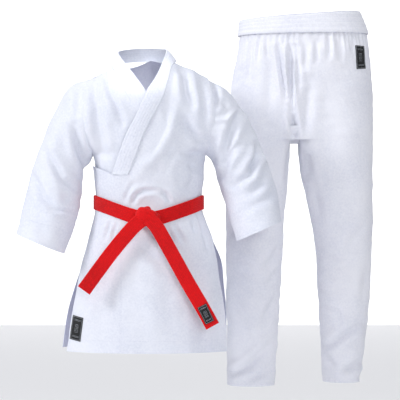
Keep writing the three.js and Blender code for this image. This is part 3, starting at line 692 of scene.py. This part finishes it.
def tube_face(table, angle, v, offset, shape, power=None):
    f = lambda a, b: tube_base(table, a, np.clip(b, 0, len(table) - 1), power)
    p = f(angle, v)
    middle = (f(np.zeros_like(angle), v) + f(np.full_like(angle, math.pi), v)) / 2
    n = normals(f, angle, v, p - middle)
    facing = smooth(-n[..., 1] / 0.45)
    rise = offset + shape(p, facing, v)
    return p + n * rise[..., None]


def tube_piece(name, table, v0, v1, rows, around, shape, materials, wall=CLOTH, base=0.0, power=None):
    angle, v = np.meshgrid(np.linspace(0, 2 * math.pi, around + 1)[:-1], np.linspace(v0, v1, rows))
    return shell(name, tube_face(table, angle, v, base, shape, power),
                 tube_face(table, angle, v, base + wall, shape, power), materials, loop=True)


SLEEVE_SEEDS = {"right": 41, "left": 31}
for side, data in SLEEVES.items():
    table, end = data["rows"], len(data["rows"]) - 1

    def shape(p, facing, v, data=data, end=end, seed=SLEEVE_SEEDS[side]):
        start = smooth((v - 0.02) / 0.5)
        cuff = smooth((end - v) / 0.35)
        behind = 0.7 * folds(p + [0, 0, 25], data["folds"]) * (1 - facing)
        return (folds(p, data["folds"]) * facing * (0.35 + 0.65 * start) * (0.2 + 0.8 * cuff)
                + behind * start * cuff
                + start * (1.3 * ripple(p, seed, 80) + 0.6 * ripple(p, seed + 1, 30)) * (0.3 + 0.7 * cuff))

    top = tube_piece(f"sleeve_top_{side}", table, 0.0, 2.6, 70, 150, shape, [CANVAS, CANVAS_INSIDE_PAINTED_SHADE])
    low = tube_piece(f"sleeve_low_{side}", table, 2.6, end, 100, 150, shape, [CANVAS, CANVAS_INSIDE_PAINTED_SHADE])
    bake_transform(top)
    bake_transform(low)
    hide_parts(f"sleeve_upper_{side}")
    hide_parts(f"sleeve_lower_{side}")
    # The turned-in cuff is drawn wholly in the canvas copy darkened as painted shade.
    facing_piece = tube_piece(f"cuff_turn_{side}", table, end - 0.58, end - 0.02, 16, 120, shape,
                              [CANVAS_INSIDE_PAINTED_SHADE], wall=1.2, base=-1.6)
    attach(facing_piece, f"lower_sleeve_{side}")
    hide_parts(f"cuff_facing_{side}")
    turn = np.linspace(0, 2 * math.pi, 140)
    lines = [tube_face(table, turn, np.full(140, end - d), ON_CLOTH, shape) for d in (0.06, 0.6)]
    stitches(f"cuff_rows_{side}", lines, THREAD, f"lower_sleeve_{side}")
    lines = [tube_face(table, turn, np.full(140, 0.05), ON_CLOTH, shape)]
    stitches(f"armhole_rows_{side}", lines, THREAD, "jacket")

# ------------------------------------------------------------------ belt
# A red cotton belt, 39 mm wide, several layers quilted with parallel rows. It goes twice round the waist,
# is tied in front, and its two ends hang free of the skirt.
RED = cloth_material("red_belt_cotton", "#DC0008", "#BE0006", 0.78, 0.04, 0.0009, bump=0.3)
RED_THREAD = cloth_material("red_belt_thread", "#AE0006", "#920004", 0.7, 0.02, 0.0004)
BELT = 39.0            # width
BELT_ROWS = 8          # rows of quilting
BELT_STITCH = dict(pitch=0.0036, length=0.0026, radius=0.0004)


def belt_ridges(s, wall):
    """Wall of the belt across its width, s from 0 to 1, dipped at each row of stitching."""
    edge = np.clip(np.minimum(s, 1 - s) / 0.05, 0, 1) ** 0.5
    rows = (s * BELT_ROWS) % 1
    near = np.minimum(rows, 1 - rows) / BELT_ROWS * BELT
    dip = np.where((s > 0.06) & (s < 0.94), 0.42 * np.exp(-(near / 0.9) ** 2), 0)
    return wall * (0.35 + 0.65 * edge) - dip


def belt_turn(name, rise, node, lean):
    n, points_across = 300, 50
    s = np.linspace(0, 1, points_across)
    low, high = [], []
    for i in range(n):
        t = i / n * 4
        front = t < 2
        u = -1 + t if front else 3 - t
        side = -1 if front else 1
        flat = torso(side, np.array(u), np.array(row_at(BELT_SIDE)))
        middle = belt_middle(flat[0]) if front else BELT_SIDE
        f = lambda a, b: torso(side, a, b)
        p = f(np.array(u), np.array(row_at(middle)))
        nn = normals(f, np.array(u), np.array(row_at(middle)), p * [0.01, 0, 0] + [0, side, 0.0], 1)
        nn = nn * [1, 1, 0]
        nn /= np.linalg.norm(nn)
        under = over_lift(p[0], middle) if front else STACK * smooth((-u - 0.45) / 0.55)
        seat = under + CLOTH + rise + 0.3 * math.sin(t * 9 + lean)
        z = middle + (s - 0.5) * BELT + lean
        x, y = [np.full(points_across, p[c] + nn[c] * seat) for c in (0, 1)]
        base = np.stack([x, y, z], axis=-1)
        low.append(base)
        high.append(base + nn[None] * belt_ridges(s, 2.2)[:, None])
    low, high = np.array(low), np.array(high)
    grid_low, grid_high = low.transpose(1, 0, 2), high.transpose(1, 0, 2)
    thing = shell(name, grid_low, grid_high, [RED], loop=True)
    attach(thing, "jacket")
    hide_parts(node)
    out = []
    for k in range(1, BELT_ROWS):
        j = int(round(k / BELT_ROWS * (points_across - 1)))
        ring = grid_high[j]
        out.append(np.concatenate([ring, ring[:1]]))
    stitches(name + "_rows", out, RED_THREAD, "jacket", **BELT_STITCH)


belt_turn("belt_inner", 1.2, "belt_turn_inner", -0.6)
belt_turn("belt_outer", 4.2, "belt_turn_outer", 0.6)


def strap(name, path, width, wall, across, body):
    """A flat quilted strap along a path of points. across gives its width direction at each point."""
    points_across = 40
    s = np.linspace(0, 1, points_across)
    path, across = np.array(path, float), np.array(across, float)
    along_path = np.gradient(path, axis=0)
    n = np.cross(along_path, across)
    n /= np.linalg.norm(n, axis=1, keepdims=True)
    half = wall / 2
    grid = path[:, None] + across[:, None] * ((s - 0.5) * width)[None, :, None]
    ridge = belt_ridges(s, half + 0.6)
    high = grid + n[:, None] * ridge[None, :, None]
    low = grid - n[:, None] * ridge[None, :, None]
    thing = shell(name, low, high, [RED])
    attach(thing, body)
    lines = []
    for k in range(1, BELT_ROWS):
        j = int(round(k / BELT_ROWS * (points_across - 1)))
        lines += [high[1:-1, j], low[1:-1, j]]
    stitches(name + "_rows", lines, RED_THREAD, body, **BELT_STITCH)
    return thing


def tail_path(points, y, bow):
    t = np.linspace(0, 1, 90)
    pts = catmull([(x, y, z) for x, z in points], t)
    pts[:, 1] += bow * np.sin(t * math.pi) + 0.6 * np.sin(t * 9)
    d = np.gradient(pts, axis=0)
    d /= np.linalg.norm(d, axis=1, keepdims=True)
    across = np.stack([-d[:, 2], 0 * t, d[:, 0]], axis=-1)
    across /= np.linalg.norm(across, axis=1, keepdims=True)
    return pts, across


TAIL_RIGHT = [(-14, -414), (-36, -432), (-64, -463), (-96, -502), (-132, -550), (-169, -601)]
TAIL_LEFT = [(0, -412), (18, -430), (40, -466), (70, -520), (106, -585), (140, -643), (168, -694)]
for name, points, y, bow, body, node, flat in (
        ("belt_end_right", TAIL_RIGHT, -136, 1.5, "belt_end_right", "belt_tail_right", (0.038, 0.26)),
        ("belt_end_left", TAIL_LEFT, -142, -1.5, "belt_end_left", "belt_tail_left", (0.038, 0.34))):
    pts, across = tail_path(points, y, bow)
    piece = strap(name, pts, BELT - 1, 4.0, across, body)
    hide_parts(node)

# The knot: four rounded folds of the belt, pressed together over the roots of the two ends.
PAD_SQUARE = 0.72      # how square a fold is: 1 is round


def pad(name, centre, size, turned, pleats=5):
    """A rounded fold of belt: a squashed pad with the belt's quilting rows running across it."""
    lat = np.linspace(-math.pi / 2, math.pi / 2, 46)
    lon = np.linspace(0, 2 * math.pi, 97)[:-1]
    a, b = np.meshgrid(lon, lat)
    bend = lambda t, p: np.sign(t) * np.abs(t) ** p
    c = bend(np.cos(b), PAD_SQUARE)
    x, y, z = c * bend(np.cos(a), PAD_SQUARE), c * bend(np.sin(a), 0.9), bend(np.sin(b), PAD_SQUARE)
    swell = 1 + 0.035 * np.cos(z * math.pi * pleats) * (np.abs(z) < 0.93)
    p = np.stack([x * size[0] / 2, y * size[1] / 2 * swell, z * size[2] / 2 * (1 + 0.1 * x * x)], axis=-1)
    ca, sa = math.cos(turned), math.sin(turned)
    q = np.stack([p[..., 0] * ca - p[..., 2] * sa, p[..., 1], p[..., 0] * sa + p[..., 2] * ca], axis=-1)
    q = q + centre
    rows, cols = q.shape[:2]
    body = q[1:-1].reshape(-1, 3)
    points = np.concatenate([body, [q[0, 0]], [q[-1, 0]]])
    faces = []
    for i in range(rows - 3):
        for j in range(cols):
            k = (j + 1) % cols
            faces.append((i * cols + j, i * cols + k, (i + 1) * cols + k, (i + 1) * cols + j))
    first, last, e = len(points) - 2, len(points) - 1, (rows - 3) * cols
    faces += [(first, (j + 1) % cols, j) for j in range(cols)]
    faces += [(last, e + j, e + (j + 1) % cols) for j in range(cols)]
    thing = mesh_object(name, points, faces, [RED])
    outwards(thing)
    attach(thing, "jacket")
    return thing


knot = pad("knot_front", np.array([-5, -131, -405]), (56, 24, 38), math.radians(-20))
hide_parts("belt_knot")
pad("knot_upper", np.array([-14, -120, -396]), (44, 19, 22), math.radians(24), pleats=3)
pad("knot_left", np.array([12, -120, -412]), (34, 18, 36), math.radians(-34), pleats=4)
pad("knot_low", np.array([-20, -120, -419]), (38, 16, 26), math.radians(40), pleats=4)

# ------------------------------------------------------------------ woven labels
# Black damask labels with a thin silver border and plain bars. They carry no lettering.
LABEL = cloth_material("black_woven_damask", "#17181B", "#0E0F12", 0.62, 0.1, 0.0005)
SILVER = cloth_material("silver_label_thread", "#B9BEC6", "#9CA2AB", 0.5, 0.1, 0.0004)


def label(name, corners, place, body, node):
    """A label laid on a surface: place(x, z, offset) gives the point over it."""
    s, t = np.meshgrid(np.linspace(0, 1, 24), np.linspace(0, 1, 44))
    a, b, c, d = [np.array(k, float) for k in corners]
    flat = ((1 - s)[..., None] * (1 - t)[..., None] * a + s[..., None] * (1 - t)[..., None] * b
            + s[..., None] * t[..., None] * c + (1 - s)[..., None] * t[..., None] * d)
    low = place(flat[..., 0], flat[..., 1], 0.15)
    high = place(flat[..., 0], flat[..., 1], 1.0)
    thing = shell(name, low, high, [LABEL])
    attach(thing, body)
    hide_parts(node)

    def line(points):
        out = []
        for (s0, t0), (s1, t1) in zip(points[:-1], points[1:]):
            k = np.linspace(0, 1, 14)[:, None]
            st = np.array([s0, t0]) * (1 - k) + np.array([s1, t1]) * k
            xy = ((1 - st[:, :1]) * (1 - st[:, 1:]) * a + st[:, :1] * (1 - st[:, 1:]) * b
                  + st[:, :1] * st[:, 1:] * c + (1 - st[:, :1]) * st[:, 1:] * d)
            out += list(place(xy[:, 0], xy[:, 1], 1.15))
        return np.array(out)

    rows = [line([(0.08, 0.04), (0.92, 0.04), (0.92, 0.96), (0.08, 0.96), (0.08, 0.04)])]
    rows += [line([(0.22, k), (0.78, k)]) for k in (0.14, 0.18, 0.82, 0.86)]
    rows += [line([(0.34, k), (0.66, k)]) for k in np.linspace(0.34, 0.66, 7)]
    stitches(name + "_border", rows, SILVER, body, pitch=0.0014, length=0.0015, radius=0.00035)


def on_front(x, z, offset):
    shape_in = np.shape(x)
    return front_at(np.ravel(x), np.ravel(z), CLOTH + offset).reshape(*shape_in, 3)


label("jacket_label_cloth", [(-197, -672), (-168, -678), (-178, -741), (-206, -735)], on_front, "jacket",
      "jacket_label")


def on_tail(x, z, offset):
    return np.stack([x, np.full(np.shape(x), -144.9) - offset, z], axis=-1)


label("belt_label_cloth", [(128, -646), (151, -634), (172, -679), (150, -690)], on_tail, "belt_end_left",
      "belt_label")

# ------------------------------------------------------------------ trousers: hips
# Bleached cotton drill gathered into an elastic waist casing. The two halves meet in a centre seam.
DRILL = cloth_material("bleached_cotton_drill", "#F5F6FD", "#E9EBF5", 0.88, 0.12, 0.0010, 0.12)
DEPTH = 204            # how far behind the jacket's middle the trousers stand
HIP_MIDDLE = [418, DEPTH, 0]
CROTCH = 401           # where the legs part
HIPS = [(253, 139, 581, 163, 82), (249, 96, 604, 101, 90), (235, 14, 616, 14, 94), (223, -60, 621, -60, 93),
        (217, -130, 622, -130, 90), (216, -196, 622, -196, 86)]
HIP_FOLDS = [
    ([(352, 62), (359, -5), (374, -84)], 13, 6), ([(387, 62), (386, -39), (391, -112)], 13, 6),
    ([(392, -120), (400, -205)], 16, 9), ([(370, 60), (374, 0)], -5, 6), ([(402, 60), (406, -60)], 7, 7),
    ([(279, 72), (271, -30)], 7, 6), ([(300, 76), (298, 20)], 5, 6), ([(430, 74), (424, 0)], 6, 8),
    ([(320, 76), (324, 30)], 5, 5), ([(456, 78), (458, 20)], 5, 6), ([(490, 80), (492, 30)], 5, 6),
    ([(520, 82), (526, 26)], 5, 7), ([(556, 82), (560, 40)], 4, 6),
    ([(340, 72), (330, -60), (320, -150)], 5, 14),
    ([(440, -40), (430, -120), (418, -180)], 6, 14), ([(470, -60), (500, -150)], 3, 22),
]

LEG_FOLDS = [
    ([(392, -190), (386, -260), (382, -330)], 9, 10), ([(359, -500), (315, -555)], 9, 9),
    ([(352, -560), (322, -596)], 5, 8), ([(351, -632), (308, -708)], 9, 10),
    ([(340, -762), (271, -824), (212, -862)], 12, 10), ([(330, -842), (268, -872)], 7, 8),
    ([(226, -452), (270, -462), (310, -452)], 5, 10), ([(236, -560), (276, -574)], 5, 10),
    ([(228, -640), (262, -690)], 5, 12), ([(260, -520), (300, -532)], -4, 8),
    ([(300, -240), (296, -380)], -4, 22),
    ([(590, -712), (527, -751), (480, -782)], 12, 10), ([(594, -814), (534, -846)], 12, 10),
    ([(476, -664), (519, -678), (534, -728)], 5, 7), ([(470, -610), (520, -616)], -4, 8),
    ([(470, -520), (530, -540), (560, -520)], 4, 10), ([(600, -430), (560, -470), (540, -520)], 4, 9),
    ([(500, -430), (540, -450)], 4, 8), ([(452, -330), (470, -420)], 4, 10),
    ([(496, -250), (506, -400)], -4, 20), ([(486, -800), (510, -830)], 6, 9),
    ([(604, -560), (590, -640)], 5, 12), ([(430, -230), (440, -300)], 6, 12),
]


def trouser_shape(p, facing):
    """Folds of the trousers, the same on the hips and the legs, so that they run on from one to the other."""
    front = folds(p, HIP_FOLDS + LEG_FOLDS) * facing
    behind = folds(p * [-1, 1, 1] + [836, 0, 24], HIP_FOLDS + LEG_FOLDS) * (1 - facing) * 0.6
    return front + behind + 1.3 * ripple(p, 51, 90) + 0.6 * ripple(p, 52, 32)


def hip_base(angle, v):
    """The hips' wall. Lower down its section turns into that of the two legs side by side."""
    at = -np.clip(v, 0, 5)
    rx, rz, lx, lz, half = [along([(-i, r[c]) for i, r in enumerate(HIPS)], at) for c in range(5)]
    bend = lambda t: np.sign(t) * np.abs(t) ** 0.9
    c, s = bend(np.cos(angle)), bend(np.sin(angle))
    x = (lx + rx) / 2 + (lx - rx) / 2 * c
    across = np.clip(np.where(x < CROTCH, (x - 301) / 85, (519 - x) / 103), -1, 1)
    out = np.abs(np.clip(-across, 0, 1)) ** (1 / 0.95)
    legs = np.where(across < 0, np.sqrt(np.clip(1 - out ** 2, 0, 1)) ** 0.95, 1.0)
    w = smooth((v - 2.4) / 2.6)
    depth = half * ((1 - w) * np.abs(s) + w * legs)
    return np.stack([x, DEPTH + np.sign(s) * depth, (lz + rz) / 2 + (lz - rz) / 2 * c], axis=-1)


def hip_face(angle, v, offset):
    p = hip_base(angle, v)
    n = normals(hip_base, angle, v, (p - HIP_MIDDLE) * [1, 2, 0])
    facing = smooth(-n[..., 1] / 0.45)
    grow = smooth((v - 0.95) / 0.3)
    dense = 1.6 * np.sin(angle * 61 + 2 * np.sin(angle * 7)) + 1.1 * np.sin(angle * 37 + 1.3)
    pinch = dense * np.exp(-((v - 1.05) / 0.5) ** 2)
    rise = offset + pinch * 0.9 + grow * trouser_shape(p, facing)
    return p + n * rise[..., None]


angle, v = np.meshgrid(np.linspace(0, 2 * math.pi, 361)[:-1], np.linspace(0.9, 5, 130))
# The hips' inner faces take the canvas copy darkened as painted shade.
hips = shell("hips", hip_face(angle, v, 0.0), hip_face(angle, v, CLOTH), [DRILL, CANVAS_INSIDE_PAINTED_SHADE], loop=True)
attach(hips, "trousers")
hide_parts("hip_panel_left", "hip_panel_right")
line = np.linspace(1.15, 4.9, 100)
seams = [hip_face(np.full(100, k), line, ON_CLOTH) for k in (4.60, 4.63, 1.63, 1.66)]
stitches("hip_seams", seams, THREAD, "trousers")

# ------------------------------------------------------------------ trousers: waist casing and elastic
# Two layers of drill sewn into a tube round a wide elastic, with rows of stitching that gather it.


def casing(name, base, wall, node, material, ribs, v0=0.0, v1=0.99):
    n_v = 44
    angle, v = np.meshgrid(np.linspace(0, 2 * math.pi, 361)[:-1], np.linspace(v0, v1, n_v))
    p = hip_base(angle, v)
    n = normals(hip_base, angle, v, (p - HIP_MIDDLE) * [1, 2, 0])
    rows = ((v - v0) / (v1 - v0) * 4) % 1
    near = np.minimum(rows, 1 - rows)
    gathers = 0.8 * np.sin(angle * 93 + 2 * np.sin(angle * 11)) * 0.5
    puff = ribs * (0.9 * np.exp(-((near - 0.5) / 0.3) ** 2) + gathers)
    edge = np.clip(np.minimum(v - v0, v1 - v) / 0.05, 0, 1) ** 0.5
    low = p + n * base
    high = p + n * (base + wall * (0.4 + 0.6 * edge) + puff * edge)[..., None]
    thing = shell(name, low, high, [material], loop=True)
    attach(thing, "trousers")
    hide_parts(node)
    return thing, high


casing_out, outer_grid = casing("casing_outer", 6.0, 1.7, "waist_casing_outer", DRILL, 1.0)
# The casing's inner layer is drawn in the canvas copy darkened as painted shade, not in its own drill colour.
casing_in, _ = casing("casing_inner", 0.0, 1.7, "waist_casing_inner", CANVAS_INSIDE_PAINTED_SHADE, 0.0)
ELASTIC = cloth_material("ribbed_elastic", "#EDEFF6", "#DDE0EA", 0.8, 0.1, 0.0018)
elastic, _ = casing("elastic_band", 2.6, 2.4, "waist_elastic", ELASTIC, 0.0, 0.1, 0.9)
# The casing's two layers are joined by a fold along the top.
top_edge = np.linspace(0, 2 * math.pi, 241)[:-1]
p = hip_base(top_edge, np.zeros(240))
n = normals(hip_base, top_edge, np.zeros(240), (p - HIP_MIDDLE) * [1, 2, 0])
turn = np.linspace(0, math.pi, 12)
arc = [p + n * (4.0 - 3.9 * math.cos(a)) + np.array([0, 0, 1]) * 2.4 * math.sin(a) for a in turn]
inner_arc = [p + n * (4.0 - 2.6 * math.cos(a)) + np.array([0, 0, 1]) * 1.1 * math.sin(a) for a in turn]
fold = shell("casing_fold", np.array(inner_arc), np.array(arc), [DRILL], loop=True)
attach(fold, "trousers")
rings = [np.concatenate([outer_grid[j], outer_grid[j][:1]]) for j in (11, 22, 32, 42)]
stitches("casing_rows", rings, THREAD, "trousers")

# ------------------------------------------------------------------ trousers: gusset and legs
# A strip of drill set between the legs, and two straight legs with turned-up hems.
arc_t = np.linspace(0, math.pi, 50)
across_g = np.linspace(-15, 15, 12)


def strip(extra):
    """The gusset's grid, a U that runs from front to back under the crotch."""
    return np.array([[(CROTCH + w, DEPTH - (88 + extra) * math.cos(a), -158 - (46 + extra) * math.sin(a))
                      for w in across_g] for a in arc_t])


gusset = shell("gusset", strip(0), strip(CLOTH), [DRILL])
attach(gusset, "trousers")
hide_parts("crotch_gusset")
LEGS = {
    "right": [(216, -194.9, 386, -194.9, 86), (213, -260, 385, -258, 83), (210, -342, 380, -342, 77),
              (209, -418, 374, -418, 71), (210, -500, 367, -500, 66), (211, -618, 361, -618, 62),
              (212, -750, 353, -750, 58), (214, -886, 344, -886, 55)],
    "left": [(622, -194.9, 416, -194.9, 86), (622, -260, 420, -262, 83), (622, -342, 434, -342, 77),
             (622, -418, 449, -418, 72), (619, -500, 464, -500, 67), (614, -620, 469, -620, 62),
             (601, -750, 477, -750, 57), (584, -876, 484, -876, 54)],
}


def leg_power(c, v):
    return np.where(c < 0, 0.4 + 0.6 * smooth(np.asarray(v) / 1.8), 0.95)


for side, rows in LEGS.items():
    table = [r + (DEPTH,) for r in rows]
    end = len(table) - 1

    def shape(p, facing, v, end=end):
        return trouser_shape(p, facing) * (0.3 + 0.7 * smooth((end - v) / 0.22))

    top = tube_piece(f"leg_top_{side}", table, 0.0, 2.4, 70, 170, shape, [DRILL, CANVAS_INSIDE_PAINTED_SHADE], power=leg_power)
    low = tube_piece(f"leg_low_{side}", table, 2.4, end, 150, 170, shape, [DRILL, CANVAS_INSIDE_PAINTED_SHADE], power=leg_power)
    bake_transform(top)
    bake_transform(low)
    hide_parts(f"trouser_thigh_{side}")
    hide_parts(f"trouser_shin_{side}")
    # The turned-up hem's inside is drawn wholly in the canvas copy darkened as painted shade.
    hem = tube_piece(f"leg_turn_{side}", table, end - 0.3, end - 0.015, 12, 120, shape, [CANVAS_INSIDE_PAINTED_SHADE], wall=1.2,
                     base=-1.6, power=leg_power)
    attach(hem, f"shin_{side}")
    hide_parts(f"leg_hem_{side}")
    turn = np.linspace(0, 2 * math.pi, 150)
    lines = [tube_face(table, turn, np.full(150, end - d), ON_CLOTH, shape, leg_power) for d in (0.04, 0.29)]
    stitches(f"leg_hem_rows_{side}", lines, THREAD, f"shin_{side}")

# ------------------------------------------------------------------ trouser label
# A third woven label sewn on the wearer's left hip.


def on_hip(x, z, offset):
    x, z = np.asarray(x, float), np.asarray(z, float)
    v = np.full(x.shape, 1.6)
    a = np.full(x.shape, 5.4)
    for _ in range(14):
        p = hip_base(a, v)
        v = v + (p[..., 2] - z) / 80
        h = 0.01
        slope = (hip_base(a + h, v)[..., 0] - p[..., 0]) / h
        a = np.clip(a - (p[..., 0] - x) / np.where(np.abs(slope) < 20, 20, slope), 4.72, 6.27)
    return hip_face(a, v, CLOTH + offset)


label("trouser_label_cloth", [(566, 66), (592, 66), (597, 3), (571, 0)], on_hip, "trousers",
      "trouser_label")

# ------------------------------------------------------------------ studio
# A plain white backdrop far behind, a pale floor well below, large soft lights above, in front
# and to the left, and a narrow one that reaches into the neck.


def plane(name, size, place, turned, material):
    s = size / 2
    mesh = bpy.data.meshes.new(name)
    mesh.from_pydata([(-s, -s, 0), (s, -s, 0), (s, s, 0), (-s, s, 0)], [], [(0, 1, 2, 3)])
    mesh.materials.append(material)
    thing = bpy.data.objects.new(name, mesh)
    thing.location, thing.rotation_euler = place, turned
    scene.collection.objects.link(thing)


paper = bpy.data.materials.new("white_paper")
paper.use_nodes = True
paper_skin = paper.node_tree.nodes["Principled BSDF"]
paper_skin.inputs["Base Color"].default_value = colour("#FFFFFF")
paper_skin.inputs["Roughness"].default_value = 1.0
paper_skin.inputs["Emission Color"].default_value = colour("#FFFFFF")
paper_skin.inputs["Emission Strength"].default_value = 1.0
plane("backdrop", 18, (0, 8.0, 0), (math.pi / 2, 0, 0), paper)
floor_paper = bpy.data.materials.new("pale_floor_paper")
floor_paper.use_nodes = True
floor_paper.node_tree.nodes["Principled BSDF"].inputs["Base Color"].default_value = colour("#F2F2F4")
floor_paper.node_tree.nodes["Principled BSDF"].inputs["Roughness"].default_value = 1.0
plane("floor", 14, (0, 0, -1.25), (0, 0, 0), floor_paper)

world = bpy.data.worlds.new("studio")
world.use_nodes = True
world.node_tree.nodes["Background"].inputs["Color"].default_value = (0.93, 0.95, 1.0, 1)
world.node_tree.nodes["Background"].inputs["Strength"].default_value = 0.36
scene.world = world


def area_light(name, place, target, size, power, tint=(1, 1, 1)):
    light = bpy.data.lights.new(name, "AREA")
    light.size, light.energy, light.color = size, power, tint
    thing = bpy.data.objects.new(name, light)
    scene.collection.objects.link(thing)
    thing.location = place
    d = np.array(target) - np.array(place)
    tilt = math.atan2(math.hypot(d[0], d[1]), -d[2])
    thing.rotation_euler = (tilt, 0, math.atan2(d[1], d[0]) - math.pi / 2)


area_light("key", (-4.4, -2.1, 2.4), (0.1, 0, -0.3), 1.4, 172)
area_light("front", (1.3, -4.4, 0.5), (0.5, 0, -0.45), 2.0, 66)
area_light("top", (0.3, -0.6, 2.6), (0.1, 0, -0.3), 1.6, 30)

neck_light = bpy.data.lights.new("neck", "SPOT")
neck_light.energy, neck_light.spot_size, neck_light.spot_blend = 120, math.radians(5.5), 1.0
neck_light.shadow_soft_size = 0.08
neck_lamp = bpy.data.objects.new("neck", neck_light)
scene.collection.objects.link(neck_lamp)
neck_lamp.location = (0.0, -1.25, 0.42)
neck_lamp.rotation_euler = (math.radians(90 - 20), 0, math.radians(1))

camera_data = bpy.data.cameras.new("camera")
camera_data.sensor_width = 36
camera_data.lens = 143.3
camera = bpy.data.objects.new("camera", camera_data)
camera.location = (0.135, -4.3, -0.3645)
camera.rotation_euler = (math.pi / 2, 0, 0)
scene.collection.objects.link(camera)
scene.camera = camera
scene.view_settings.view_transform = "Standard"
